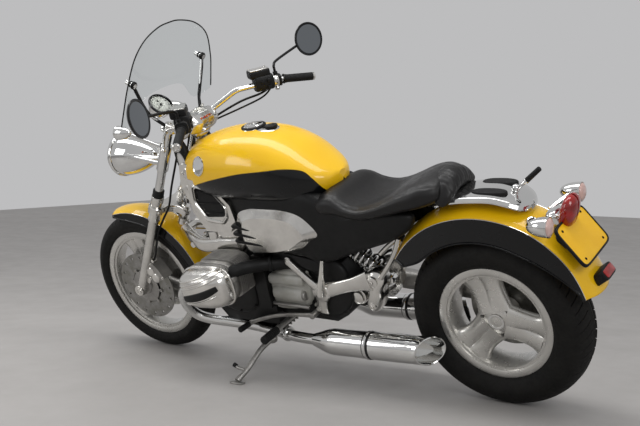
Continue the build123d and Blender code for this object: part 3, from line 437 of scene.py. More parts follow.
def build_rim(name, hub, flange, seat, half, hub_r, hub_left, hub_right, face, depth, width, body):
    """Cast wheel: a turned barrel with a stepped lip, a turned hub, and three spokes.

    Each spoke is two ribs. A rib's section is a rounded bar that follows a line from
    the hub to the barrel, and grows wider towards both ends.
    """
    lip = half + 5
    well = seat - 16
    inner = well - 6
    barrel = [(half, flange), (lip - 1.5, flange + 1), (lip, flange - 2), (lip, seat - 4),
              (lip - 3, seat - 9), (lip - 9, seat - 10), (lip - 10, seat - 18),
              (lip - 0.4 * half, seat - 21), (lip - 0.5 * half, inner), (-lip + 0.5 * half, inner),
              (-lip + 0.4 * half, seat - 21), (-lip + 10, seat - 18), (-lip + 9, seat - 10),
              (-lip + 3, seat - 9), (-lip, seat - 4), (-lip, flange - 2), (-lip + 1.5, flange + 1),
              (-half, flange), (-half, seat), (-half / 2, well), (half / 2, well), (half, seat),
              (half, flange)]
    parts = [turned(barrel, hub, (0, 1, 0), 160)]
    cap = [(hub_left + 4, 0), (hub_left + 4, hub_r * 0.5), (hub_left + 1, hub_r * 0.6),
           (hub_left - 1, hub_r * 0.9), (hub_left - 6, hub_r), (hub_right + 6, hub_r),
           (hub_right, hub_r - 5), (hub_right, 0)]
    parts.append(turned(cap, hub, (0, 1, 0), 96))
    along = np.linspace(0, 1, 22)
    reach = hub_r * 0.75 + (inner + 4 - hub_r * 0.75) * along
    for spoke in range(SPOKES):
        start = math.radians(FIRST_SPOKE_DEG + 360 / SPOKES * spoke)
        for rib_side in (1, -1):
            spread = rib_side * (0.24 + 0.16 * along ** 1.2) * width / reach
            wide = width * (0.33 + 0.24 * (1 - along) ** 2 + 0.30 * along ** 5)
            thick = depth * (0.5 + 0.12 * (1 - along) + 0.10 * along ** 4)
            middle = face - depth / 2 - 5 * np.sin(np.pi * along)
            path = round_hub(hub, middle, reach, start + spread)
            parts.append(carried(ring(20, 1.0, 1.0, 2.6), path, up=(0, 1, 0),
                                 widths=np.stack([wide, thick], -1)))
    cap_ring = [(hub_left + 3, hub_r * 0.40), (hub_left + 6, hub_r * 0.42), (hub_left + 7, hub_r * 0.5),
                (hub_left + 6, hub_r * 0.58), (hub_left + 3, hub_r * 0.6), (hub_left + 3, hub_r * 0.40)]
    make(name + "_cap_ring", [turned(cap_ring, hub, (0, 1, 0), 64)], [CHROME], body)
    make(name, parts, [WHEEL_SILVER], body, [body.replace("wheel", "rim")], sharp_deg=38)


build_rim("Rear_cast_wheel", REAR_HUB, 206, 190, 56, 50, 40, -58, 40, 44, 84, "rear_wheel")
build_rim("Front_cast_wheel", FRONT_HUB, 243, 229, 35, 44, 52, -52, 24, 34, 66, "front_wheel")


# ------------------------------------------------------------------ mudguards
def build_mudguard(name, hub, crowns, depth, skirts, half, first, last, body, stands_for):
    """Mudguard: a section carried round the axle from the first to the last angle.

    Section = crown arc out to the border, depth below the crown, then a skirt that leans
    out by a tenth. Crown and skirt radii at each angle come from crowns and skirts
    (degrees, radius), smoothed over thirteen steps. The ends are rounded off over 5 degrees.
    """
    angle = np.radians(np.linspace(first, last, 130))

    def eased(rows):
        radius = np.interp(np.degrees(angle), [a for a, r in rows], [r for a, r in rows])
        return np.convolve(np.pad(radius, 6, mode="edge"), np.ones(13) / 13, mode="valid")

    crown, low = eased(crowns), eased(skirts)
    border = crown - depth
    border_half = 0.9 * half
    unit = arc((-border_half, -depth), (0, 0), (border_half, -depth), 33)
    share = np.linspace(0, 1, 10)[1:]
    y_skirt = border_half + (half - border_half) * share
    r_skirt = border[:, None] + (np.minimum(low, border - 4) - border)[:, None] * share
    y = np.concatenate([-y_skirt[::-1], unit[:, 0], y_skirt])
    r = np.concatenate([r_skirt[:, ::-1], crown[:, None] + unit[:, 1], r_skirt], 1)
    near_end = np.minimum(angle - angle[0], angle[-1] - angle) / math.radians(5)
    pull = (1 - np.sqrt(1 - (1 - np.clip(near_end, 0, 1)) ** 2)) * np.radians(3.2)
    inward = np.where(angle > angle.mean(), -1, 1) * pull
    turn = angle[:, None] + inward[:, None] * (np.abs(y) / half) ** 3
    points = np.stack([hub[0] + r * np.cos(turn), np.broadcast_to(y, r.shape), hub[2] + r * np.sin(turn)],
                      -1)
    faces = grid_faces(*r.shape)
    first_top, last_top = 9, 41
    column = faces[:, 0] % r.shape[1]
    black = (column < first_top) | (column >= last_top)
    parts = [(points, faces[~black], 0), (points, faces[black], 1)]
    make(name, parts, [YELLOW_LACQUER, BLACK_LACQUER], body, stands_for, sharp_deg=30, wall_mm=3.0)
    # A thin bead along each colour border, chromed so that it paints the highlight on the yellow edge.
    highlight_beads = [carried(ring(8, 1.3), points[:, column] + [0, side * 0.4, 0], up=(0, 1, 0))
             for side, column in ((-1, first_top), (1, last_top))]
    edges = []
    for line in ([points[0, 1:first_top + 1], points[:, 0], points[-1, :first_top]],
                 [points[0, -2:last_top - 1:-1], points[:, -1], points[-1, -2:last_top:-1]]):
        line = np.concatenate(line)
        line = line[np.r_[True, np.linalg.norm(np.diff(line, axis=0), axis=1) > 0.5]]
        edges.append(carried(ring(8, 2.4), line, up=(0, 1, 0)))
    make(name + "_highlight_bead", highlight_beads, [CHROME], body)
    make(name + "_rolled_edge", edges, [BLACK_LACQUER], body)


build_mudguard("Rear_mudguard", REAR_HUB, [(34, 428), (60, 432), (118, 432), (140, 422), (159, 402)], 30,
               [(34, 372), (44, 322), (118, 320), (134, 335), (146, 356), (154, 372), (159, 384)], 105, 34,
               159, "chassis", ["rear_fender", "rear_fender_skirts"])
build_mudguard("Front_mudguard", FRONT_HUB, [(72, 357), (172, 357)], 15,
               [(72, 336), (80, 318), (95, 304), (150, 302), (166, 312), (172, 326)], 62, 72, 172, "fork",
               ["front_fender", "front_fender_skirts"])


# ------------------------------------------------------------------ tank, seat and panels
TANK_POWER, SADDLE_POWER = 2.3, 2.6  # superellipse powers of their sections


def build_tank():
    """Tank: at each x, half a superellipse above the widest height and half below.

    |y / w|^2.3 + |(z - wide) / height|^2.3 = 1. The black knee panels start where z meets
    the border line, with a 1.5 mm groove along it.
    """
    rows = smooth_line([(1266, 22, 812, 842, 870), (1252, 60, 790, 842, 900), (1228, 88, 774, 842, 930),
                        (1160, 128, 757, 846, 974), (1060, 158, 750, 850, 1006), (940, 173, 748, 850, 1020),
                        (800, 174, 746, 846, 1010), (690, 158, 744, 842, 968), (600, 116, 752, 840, 904),
                        (552, 66, 790, 836, 868), (536, 24, 815, 838, 856)], 96)
    x, wide_y, low, wide, top = rows.T
    border_x, border_z = smooth_line([(530, 790), (560, 796), (575, 828), (592, 858), (628, 890),
                                      (690, 905), (770, 903), (882, 893), (1010, 867), (1100, 842),
                                      (1165, 820), (1270, 806)], 200).T
    border = np.interp(x, border_x, border_z)
    power = 2 / TANK_POWER
    rim = 26  # column where the paint changes, after as many above it
    height = np.where(border > wide, top - wide, wide - low)
    share = np.clip(np.abs(border - wide) / height, 0, 0.97)
    cut = np.arcsin(share ** (1 / power)) * np.sign(border - wide)
    upper = cut[:, None] + (np.pi / 2 - cut[:, None]) * np.linspace(0, 1, rim)[::-1]
    lower = cut[:, None] + (-np.pi / 2 - cut[:, None]) * np.linspace(0, 1, 22)
    gap = 0.012
    phi = np.concatenate([upper[:, :-1], cut[:, None] + gap, cut[:, None], cut[:, None] - gap,
                          lower[:, 1:]], 1)
    sin, cos = np.sin(phi), np.cos(phi)
    y = wide_y[:, None] * np.abs(cos) ** power
    reach = np.where(sin > 0, (top - wide)[:, None], (wide - low)[:, None])
    z = wide[:, None] + np.sign(sin) * reach * np.abs(sin) ** power
    y[:, rim] -= 1.6
    z[:, rim] -= 0.4
    half = np.stack([np.broadcast_to(x[:, None], y.shape), y, z], -1)
    loop = np.concatenate([half, (half * [1, -1, 1])[:, -2:0:-1]], 1)
    points = close_ends(loop)
    faces = grid_faces(points.shape[0], points.shape[1], loop_cols=True)
    column = faces[:, 0] % points.shape[1]
    last = half.shape[1]
    black = (column >= rim) & (column < 2 * last - 2 - rim)
    make("Fuel_tank", [(points, faces[~black], 0), (points, faces[black], 1)],
         [YELLOW_LACQUER, BLACK_LACQUER], "chassis", ["fuel_tank"], sharp_deg=28)


def build_seat():
    """Saddle: closed sections along x. Each is a superellipse, |y / w|^2.6 + |z / h|^2.6 = 1,
    whose top is dished by 22 mm in the middle and puckered beside the seams. In front its
    two sides reach forward past the tail of the tank."""
    rows = smooth_line([(606, 108, 786, 12, 26), (588, 136, 796, 30, 40), (562, 150, 810, 44, 58),
                        (535, 154, 820, 50, 58), (505, 156, 814, 46, 54), (470, 159, 790, 30, 50),
                        (430, 163, 776, 22, 46), (390, 166, 776, 22, 46), (340, 167, 790, 26, 46),
                        (290, 164, 811, 34, 48), (240, 159, 834, 44, 48), (190, 151, 852, 54, 46),
                        (150, 139, 860, 58, 38), (118, 120, 856, 50, 30), (104, 104, 846, 38, 20)], 120)
    x, w, crown, up, down = rows.T
    c, s = ring(112, 1.0, 1.0, SADDLE_POWER).T
    y = w[:, None] * c
    z = (crown - up)[:, None] + np.where(s > 0, up[:, None], down[:, None]) * s
    hollow = np.exp(-((x - 385) / 105) ** 2)[:, None]
    z -= 20 * np.clip(s, 0, 1) * np.exp(-(c / 0.62) ** 4) * hollow
    seam = np.exp(-((np.abs(c) - 0.86) / 0.02) ** 2) * (s > 0.2)
    pucker = 0.7 * np.sin(x / 7.0)[:, None] * np.exp(-((np.abs(c) - 0.86) / 0.05) ** 2) * (s > 0.2)
    z -= 2.6 * seam + pucker
    fade = np.exp(-((x[:, None] - 180) / 60) ** 2)
    crease = 1.5 * np.sin((x[:, None] * 0.8 + np.abs(y) * 1.1) / 19.0) * fade
    z += crease * np.clip(s, 0, 1)
    loop = np.stack([np.broadcast_to(x[:, None], y.shape), y, z], -1)
    points = close_ends(loop)
    seat = make("Saddle", [(points, grid_faces(points.shape[0], 112, loop_cols=True), 0)], [SADDLE_LEATHER],
                "chassis", ["seat"], sharp_deg=60)


def build_bolster():
    """Backrest roll: a bar along y whose ends drop by 50 (y / 108)^2, with rounded ends and
    gathers: radius = r (1 + folds), folds = sines of the angle and of y."""
    along, turn = np.meshgrid(np.linspace(-1, 1, 110), np.linspace(0, 2 * np.pi, 80, endpoint=False),
                              indexing="ij")
    round_end = (1 - np.abs(along) ** 5) ** (1 / 2.2)
    folds = (0.018 * np.sin(22 * along + 3 * np.sin(turn)) + 0.012 * np.sin(47 * along - 2 * turn + 1.0)
             + 0.014 * np.sin(7 * turn + 9 * along))
    folds = folds * (0.5 + 0.8 * np.abs(along) ** 1.5)
    radius = (42 - 6 * along ** 2) * round_end * (1 + folds)
    points = np.stack([106 + 1.1 * radius * np.cos(turn) - 6 * along ** 2, 108 * along,
                       832 - 50 * along ** 2 + radius * np.sin(turn)], -1)
    bolster = make("Bolster", [(points, grid_faces(110, 80, loop_cols=True), 0)], [SADDLE_LEATHER],
                   "chassis", sharp_deg=60)


def dome(outline, base, height, flat=5.0, roundness=2.2, steps=26, back=2.0, ridges=(), facet=None,
         shift=(0.0, 0.0)):
    """Domed plate on a closed (x, z) outline: y = base + height (1 - rho^flat)^(1 / roundness),
    rho being 0 at the middle and 1 on the outline. facet replaces the curve by a flat top
    up to that rho and a straight bevel outside it; shift moves the middle of the inner
    lines. ridges add (rho, rise, width) bell curves. The back is a flat fan."""
    outline = np.asarray(outline, float)
    middle = outline.mean(0)
    rho = 1 - (1 - np.linspace(0, 1, steps)) ** 1.6
    if facet:
        rho = np.concatenate([np.linspace(0, facet, 6),
                              facet + (1 - facet) * np.array([0.06, 0.2, 0.5, 0.85, 0.96, 1])])
        rise = np.clip((1 - rho) / (1 - facet), 0, 1) * 0.72 + 0.28 * (rho < 0.9999)
    else:
        rise = (1 - rho ** flat) ** (1 / roundness)
    lift = height * rise
    for spot, tall, wide in ridges:
        lift = lift + math.copysign(tall, height) * np.exp(-((rho - spot) / wide) ** 2)
    centre = middle + np.asarray(shift, float) * (1 - rho[:, None]) ** 0.8
    spread = centre[:, None] + (outline - middle) * rho[:, None, None]
    front = np.concatenate([spread[..., :1], (base + lift)[:, None, None] + 0 * spread[..., :1],
                            spread[..., 1:]], -1)
    rear = front[::-1].copy()
    rear[..., 1] = base - math.copysign(back, height)
    points = np.concatenate([front, rear])
    return points, grid_faces(points.shape[0], len(outline), loop_cols=True)


def lying_dome(*sizes, **shape):
    """The same dome with its outline in (x, y) and its height along z."""
    grid, cells = dome(*sizes, **shape)
    return grid[..., [0, 2, 1]], cells


def build_covers():
    """The two teardrop intake covers, each a bevelled face on a smooth closed line, with
    three black strips on the front edge which paint the shade inside its louvre slits."""
    line = smooth_line([(962, 690), (944, 728), (890, 746), (803, 752), (727, 751), (660, 736), (614, 702),
                        (586, 660), (628, 632), (684, 596), (770, 574), (860, 566), (930, 566), (956, 600),
                        (966, 645)], 180, closed=True)
    part = dome(line, 128, 44, facet=0.74, shift=(-6, -14))
    # Black strips laid on the cover's face: painted shade inside the three slits.
    slit_shade_strips = []
    for k in range(3):
        z = 684 - 30 * k
        blade = [(972, z + 4), (940, z + 5), (900 - 26 * k, z - 6), (874 - 26 * k, z - 14),
                 (896 - 26 * k, z - 15), (940, z - 8), (968, z - 7)]
        slit_shade_strips.append(dome(smooth_line(blade, 40, closed=True), 130, 44.5, flat=14.0, steps=14))
    make("Intake_covers", both([part]), [POLISHED], "chassis", ["intake_covers"], sharp_deg=24)
    make("Intake_slit_shade", both(slit_shade_strips), [BLACK_ABS], "chassis", sharp_deg=50)


def build_side_panels():
    """Black side panels: one long dome each side from the tank's flank to the rear strut,
    a second dome over the gearbox top, and dark plates that close the rear of the engine."""
    line = smooth_line([(1006, 800), (900, 822), (780, 826), (660, 822), (600, 806), (560, 790), (480, 752),
                        (380, 742), (290, 752), (226, 742), (214, 716), (240, 678), (300, 640), (380, 610),
                        (470, 580), (560, 545), (630, 528), (700, 548), (800, 560), (900, 580), (960, 640),
                        (992, 720)], 180, closed=True)
    panel = dome(line, 96, 50, flat=4.5, roundness=2.4, shift=(-30, 10))
    lower = smooth_line([(700, 560), (640, 566), (586, 540), (548, 500), (540, 452), (560, 420), (610, 440),
                         (680, 462), (720, 500)], 90, closed=True)
    under = dome(lower, 84, 24)
    make("Side_panels", both([panel, under]), [BLACK_ABS], "chassis", ["side_covers"],
         sharp_deg=45)
    back = smooth_line([(690, 470), (560, 452), (536, 400), (556, 344), (620, 300), (700, 300), (730, 380)],
                       90, closed=True)
    plate = dome(back, 92, 14, flat=6.0)
    ribs = [slab((560 + 4 * k, 100, 430 - 26 * k), (690, 102, 440 - 26 * k), 3, 4, power=3)
            for k in range(5)]
    make("Gearbox_rear_covers", both([plate] + ribs), [BLACK_STEEL], "chassis")


BORE_X, BORE_Z = 1035, 490  # centre line of the cylinders
COVER_WIDE, COVER_TALL, COVER_POWER = 118.0, 78, 3.4  # rocker cover's half sizes, corner power
COVER_FOOT, COVER_RISE, COVER_FLAT, COVER_ROUND = 290, 80, 3.2, 2.2  # and its dome


def build_rocker_covers():
    """Rocker covers: domes on a rounded outline, a raised rib round them, four parallel
    ridges and a dark plug strip that rises to the rear."""
    turn = math.radians(-4)
    spin = np.array([[math.cos(turn), math.sin(turn)], [-math.sin(turn), math.cos(turn)]])
    outline = ring(120, COVER_WIDE, COVER_TALL / COVER_WIDE, COVER_POWER) @ spin + [BORE_X, BORE_Z]
    part = dome(outline, COVER_FOOT, COVER_RISE, flat=COVER_FLAT, roundness=COVER_ROUND,
                ridges=((0.88, 1.6, 0.03),))
    lip = carried(ring(12, 5.0), np.insert(outline, 1, COVER_FOOT + 3, axis=1)[np.r_[0:120, 0]],
                  up=(0, 1, 0), ends=False)

    def on_face(x, z):
        """Height of the dome above a point of its outline's plane."""
        u, v = (np.array([x - BORE_X, z - BORE_Z]) @ spin.T) / [COVER_WIDE, COVER_TALL]
        rho = min((abs(u) ** COVER_POWER + abs(v) ** COVER_POWER) ** (1 / COVER_POWER), 0.995)
        return COVER_FOOT + COVER_RISE * (1 - rho ** COVER_FLAT) ** (1 / COVER_ROUND)

    ridges = []
    for step in (-34, 30, 44, 58):
        spots = [(BORE_X + t, BORE_Z + step + 0.30 * -t + 0.0006 * t * t) for t in np.linspace(-86, 84, 30)]
        ridges.append(carried(ring(12, 4.0, 1.2), [(x, on_face(x, z) - 0.5, z) for x, z in spots],
                              up=(0, 1, 0)))
    centre = [(BORE_X + t, BORE_Z + 0.30 * -t + 0.0010 * t * t - 10) for t in np.linspace(-92, 74, 40)]
    wide = 15 - 5 * np.abs(np.linspace(-1, 1, 40)) ** 3
    path = np.array([(x, on_face(x, z) + 1.0, z) for x, z in centre])
    cover = carried(ring(24, 1.0, 1.0, 2.6), path, up=(0, 1, 0), widths=np.stack([wide, wide * 0.35], -1))
    make("Rocker_covers", both([part, lip] + ridges), [POLISHED], "chassis", ["valve_covers"],
         sharp_deg=45)
    make("Plug_covers", both([cover]), [BLACK_ABS], "chassis", sharp_deg=45)


PLATE_AT = np.array([-318.0, 0, 648])
PLATE_OUT, PLATE_RISE = np.array([-0.8, 0, 0.6]), np.array([0.6, 0, 0.8])


def plate_sheet(half_wide, half_tall, thick, lift):
    """Thin sheet with rounded corners, square to the plate's outward direction."""
    sheet = ring(72, half_wide, half_tall / half_wide, 9.0)
    centre = PLATE_AT + PLATE_OUT * lift
    line = centre + sheet[:, :1] * np.array([0, 1.0, 0]) + sheet[:, 1:] * PLATE_RISE
    inner = centre + (line - centre) * 0.98
    spot = np.broadcast_to(centre, line.shape)
    return (np.stack([spot, inner, line, line + PLATE_OUT * thick * 0.8, inner + PLATE_OUT * thick,
                      spot + PLATE_OUT * thick]), grid_faces(6, 72, loop_cols=True))


def build_plate():
    """Blank number plate in a black holder with a raised border, screws and a reflector box."""
    make("Number_plate_sheet", [plate_sheet(105, 70, 1.6, 2.4)], [PLATE_SHEET], "chassis",
         sharp_deg=30)
    rim = np.concatenate([ring(72, 108.0, 73 / 108, 9.0)] * 2)[:73]
    border = PLATE_AT + PLATE_OUT * 3.2 + rim[:, :1] * np.array([0, 1.0, 0]) + rim[:, 1:] * PLATE_RISE
    parts = [plate_sheet(111, 77, 5, -4.0), carried(ring(10, 3.4), border, up=PLATE_OUT, ends=False)]
    parts += [slab((-262, y, 640), (-300, y, 652), 10, 26, power=4) for y in (-50, 50)]
    box = np.array([-372.0, 0, 519])
    parts += [slab(box - PLATE_OUT * 22, box + PLATE_OUT * 24, 40, 20, up=PLATE_RISE, power=6, soft=4),
              slab(box - [0, 44, 0], box + [0, 44, 0], 14, 10, up=PLATE_RISE, power=4, soft=3)]
    make("Plate_holder", parts, [BLACK_ABS], "chassis", ["number_plate"], sharp_deg=35)
    make("Reflector", [slab(box + PLATE_OUT * 23, box + PLATE_OUT * 27, 34, 14, up=PLATE_RISE, power=8)],
         [RED_LENS], "chassis", sharp_deg=35)
    screws = [bolt(PLATE_AT + [0, y, 0] + PLATE_OUT * 4 + PLATE_RISE * h, PLATE_OUT, 3.4, 2.5)
              for y, h in ((78, 54), (-78, 54), (78, -54), (-78, -54))]
    make("Plate_screws", screws, [BLACK_ABS], "chassis", sharp_deg=35)


def build_rack():
    """Rack: a polished plate that follows the mudguard, its edges rolled down by
    14 |y / w|^6, with two rubber pads, and a stay with a ball foot and a rubber grip."""
    rows = smooth_line([(206, 0, 752), (198, 34, 757), (176, 62, 767), (140, 80, 781), (80, 89, 797),
                        (10, 92, 805), (-60, 91, 806), (-110, 86, 795), (-146, 72, 778), (-164, 50, 768),
                        (-172, 22, 763), (-174, 0, 762)], 90)
    x, w, z = rows.T
    w = np.clip(w, 2, None)
    across = np.sin(np.linspace(-np.pi / 2, np.pi / 2, 49))
    y = w[:, None] * across
    bead = 2.5 * np.exp(-((np.abs(across) - 0.9) / 0.05) ** 2)
    top = z[:, None] - 14 * np.abs(across) ** 6 - 5 * across ** 2 + bead
    low = top[:, ::-1] - 5.0
    loop = np.stack([np.broadcast_to(x[:, None], (90, 98)), np.concatenate([y, y[:, ::-1]], 1),
                     np.concatenate([top, low], 1)], -1)
    plate = close_ends(loop)
    feet = [rod((140, s * 50, 760), (140, s * 50, 778), 9) for s in (1, -1)]
    feet += [rod((-110, s * 46, 752), (-110, s * 46, 790), 9) for s in (1, -1)]
    feet += [rod((-130, 0, 752), (-112, 0, 800), 11, 8),
             turned([(14 * math.cos(a), 14 * math.sin(a)) for a in np.linspace(math.pi, 0, 16)],
                    (-118, 0, 800), (0, 0, 1), 28)]
    stay = [rod((-112, 0, 790), (-156, 0, 826), 7, 6.5), rod((-154, 0, 824), (-160, 0, 829), 9.5)]
    make("Rack_plate", [(plate, grid_faces(plate.shape[0], 98, loop_cols=True))] + feet + stay, [CHROME],
         "chassis", ["rack_panel"])
    pads = [rod((-158, 0, 827), (-207, 0, 869), 9, 8.5, 3)]
    for side in (1, -1):
        oval = ring(60, 62.0, 0.36, 2.3) + [-46, side * 44]
        pads.append(lying_dome(oval, 803, 7, flat=6.0, back=8.0))
    make("Rack_pads", pads, [SOFT_RUBBER], "chassis")


def build_tail_lamp():
    """Tail lamp: a domed red lens leaning back on a chromed base, and the lock beside it."""
    line = smooth_line([(-252, 690), (-262, 738), (-280, 776), (-302, 786), (-318, 766), (-312, 724),
                        (-298, 690), (-274, 672)], 80, closed=True)
    half = dome(line, 6, 42, flat=2.6, roundness=2.0)
    make("Tail_lens", both([half]), [RED_LENS], "chassis", ["tail_light"], sharp_deg=60)
    base = [slab((-226, 0, 700), (-262, 0, 716), 40, 30, power=3, soft=6),
            rod((-250, -36, 712), (-250, 36, 712), 20, soft=5)]
    spot, out = np.array([-186.0, 62, 712]), np.array([-0.3, 0.55, 0.78])
    base += [turned([(0, 0), (0, 17), (5, 18), (8, 16), (9, 12), (6, 11), (6, 0)], spot, out, 40)]
    make("Tail_base", base, [CHROME], "chassis", sharp_deg=35)
    make("Rack_lock", [turned([(5, 0), (5, 10.5), (8, 10), (9, 5), (9, 0)], spot, out, 32)], [BLACK_ABS],
         "chassis", sharp_deg=35)


def build_tank_fittings():
    """Filler cap with its ring, and a plain bright disc on each side of the tank."""
    up = (0, 0, 1)
    base = ring(72, 92.0, 0.56, 2.4) + [876, 0]
    make("Filler_cap", [lying_dome(base, 1004, 14, flat=3.0, back=14.0),
                        turned([(0, 0), (0, 52), (3, 52), (6, 48), (8, 45), (8, 40), (14, 38), (18, 34),
                                (20, 26), (21, 0)], (895, 0, 1010), up, 64),
                        rod((895, 0, 1028), (895, 0, 1034), 13, soft=2)], [CHROME], "chassis",
         ["filler_cap"], sharp_deg=30)
    make("Filler_ring", [turned([(7, 39), (7, 47), (12, 47), (15, 43), (15, 39), (7, 39)], (895, 0, 1010),
                                up, 64), rod((812, 0, 1012), (812, 0, 1024), 24, soft=5)], [BLACK_ABS],
         "chassis", sharp_deg=30)
    spot, out = np.array([1084.0, 142, 912]), np.array([0.30, 0.90, 0.32])
    out = out / np.linalg.norm(out)
    disc = [turned([(-8, 0), (-8, 37), (1, 38), (4, 36), (5, 32), (3.4, 29), (4.4, 20), (5.2, 0)], spot,
                   out, 56)]
    make("Badge_discs", both(disc), [CHROME], "chassis", sharp_deg=30)


# ------------------------------------------------------------------ front end
RAKE = math.radians(29.5)
FORK_FOOT = np.array([FRONT_HUB[0] + 86.0, 0.0, 0.0])
FORK_AHEAD = np.array([math.cos(RAKE), 0.0, math.sin(RAKE)])
FORK_UP = np.array([-math.sin(RAKE), 0.0, math.cos(RAKE)])


def fork_point(x, y, z):
    """Machine millimetres of a point ahead of, left of and along the steering axis."""
    return FORK_FOOT + x * FORK_AHEAD + np.array([0.0, y, 0.0]) + z * FORK_UP


# The legs' distance ahead of the steering axis, and the axle's height along it.
LEG = float((FRONT_HUB - FORK_FOOT) @ FORK_AHEAD)
AXLE_UP = float((FRONT_HUB - FORK_FOOT) @ FORK_UP)
LEAN_BACK = math.radians(27)
# The screen's foot, its bend radius, and how far behind the foot the bend is centred.
SCREEN_FOOT, SCREEN_R, SCREEN_SET = np.array([1310.0, 0, 1095]), 739.04, 691.04
SCREEN_OUT = np.array([math.cos(LEAN_BACK), 0.0, math.sin(LEAN_BACK)])
SCREEN_UP = np.array([-math.sin(LEAN_BACK), 0.0, math.cos(LEAN_BACK)])


def build_windscreen():
    """Windscreen: a sheet bent to a circle of 739 mm radius, u = sqrt(739^2 - y^2) - 691.

    Rings of its outline shrink to the middle; a round bead follows its sides and top.
    """
    right = [(262, 20), (253, 90), (240, 166), (207, 263), (145, 320), (60, 348), (0, 352)]
    notch = [(-244, -2), (-216, -14), (-186, -18), (-164, 2), (-134, 42), (-104, 62), (-60, 70), (0, 71),
             (60, 70), (104, 62), (134, 42), (164, 2), (186, -18), (216, -14), (244, -2)]
    upper = right + [(-y, v) for y, v in right[-2::-1]]
    line = smooth_line(upper + notch, 200, closed=True)
    middle = np.array([0.0, 235.0])
    flat = middle + (line - middle) * np.linspace(0, 1, 20)[:, None, None]

    def bent(spots, out=0.0):
        y, v = spots[..., :1], spots[..., 1:]
        u = np.sqrt(SCREEN_R ** 2 - y ** 2) - SCREEN_SET + out
        return SCREEN_FOOT + u * SCREEN_OUT + v * SCREEN_UP + y * np.array([0, 1.0, 0])

    sheet = np.concatenate([bent(flat), bent(flat[::-1], -4.0)])
    make("Windscreen", [(sheet, grid_faces(40, 200, loop_cols=True))], [CLEAR_ACRYLIC], "fork",
         ["windshield"], sharp_deg=60)
    trim = bent(smooth_line(upper, 120), -2.0)
    parts = [carried(ring(10, 2.6), trim, up=SCREEN_OUT)]
    for side in (1, -1):
        clamp = np.array([1256.0, side * 198, 1253])
        out = np.array([0.91, 0, 0.41])
        parts.append(turned([(-17, 0), (-17, 12), (-14, 15), (-6, 15), (-3, 8), (3, 8), (5, 12), (9, 12),
                             (11, 8), (11, 0)], clamp, out, 28))
        parts.append(tube([clamp + [-6, 0, 0], (1252, side * 188, 1215), (1260, side * 158, 1140),
                           (1256, side * 134, 1102), fork_point(LEG - 4, side * 94, 1160)], 6.6, 60))
    make("Windscreen_edging", parts, [BLACK_ABS], "fork", sharp_deg=45)


def build_headlight():
    """Headlight: a spun bowl, its rolled rim, a paraboloid reflector r^2 = 77 (x - 5), the
    bulb with its shield and a thin ribbed lens."""
    at, ahead = np.array([1548.0, 0, 901]), (1, 0, 0)
    bowl = smooth_line([(-118, 0), (-116, 12), (-100, 32), (-70, 50), (-40, 63), (0, 76), (40, 83.5),
                        (70, 85)], 60)
    rim = [(70, 85), (71, 88), (76, 89.5), (84, 89.5), (89, 87), (90, 83), (87, 79), (80, 78)]
    cup = [(5 + r * r / 77, r) for r in np.linspace(77, 0, 22)]
    make("Headlight_bowl", [turned(np.concatenate([bowl, rim, cup]), at, ahead, 96)], [CHROME], "fork",
         ["headlight"], sharp_deg=35)
    glass = [(99, 0), (98, 25), (94, 48), (88, 68), (82, 78), (80, 78), (85, 67), (91, 47), (95, 25),
             (96, 0)]
    bulb = rod(at + [8, 0, 0], at + [34, 0, 0], 8, 6, 3)
    shield = rod(at + [34, 0, 0], at + [42, 0, 0], 11, 11, 2)
    make("Headlight_glass", [turned(glass, at, ahead, 96)], [LAMP_GLASS], "fork",
         ["headlight_lens"], sharp_deg=50)
    parts = [bulb, shield]
    for side in (1, -1):
        parts += [bolt(at + [-20, side * 70, 20], (0, side, 0), 9, 9),
                  rod(fork_point(LEG, side * 60, 1000), at + [-10, side * 74, 24], 8)]
    make("Headlight_mounts", parts, [CHROME], "fork")


def build_signals():
    """Turn signals: spun bullets, radius r sqrt(1 - t^2) at a share t of the length, with a
    domed lens. The rear pair stand on curved stalks."""
    stalks = [tube([(-196, side * 60, 704), (-222, side * 96, 722), (-248, side * 128, 735)], 9.5, 30, 16)
              for side in (1, -1)]
    pairs = [("Front", "fork", (1440, 160, 1052), 1, 28, 66, [], AMBER_LENS, []),
             ("Rear", "chassis", (-272, 142, 735), -1, 32, 70, stalks, PALE_LENS, ["rear_turn_signals"])]
    for where, body, (x, y, z), out, r, length, extra, glass, stands_for in pairs:
        shell = [(-length * t, r * math.sqrt(max(1 - t * t, 0))) for t in np.linspace(0, 1, 22)[::-1]]
        shell += [(1, r + 1), (4, r + 1), (5, r - 1), (3, r - 3), (0, r - 4), (0, 0)]
        lens = [(0, r - 3.2), (5, r - 3.4), (9, r - 6), (13, r * 0.55), (15, 0), (0.5, 0)]
        spots = [(x, side * y, z) for side in (1, -1)]
        make(where + "_signals", [turned(shell, spot, (out, 0, 0), 48) for spot in spots] + extra, [CHROME],
             body, stands_for, sharp_deg=35)
        make(where + "_signal_lenses", [turned(lens, spot, (out, 0, 0), 48) for spot in spots], [glass],
             body, sharp_deg=35)


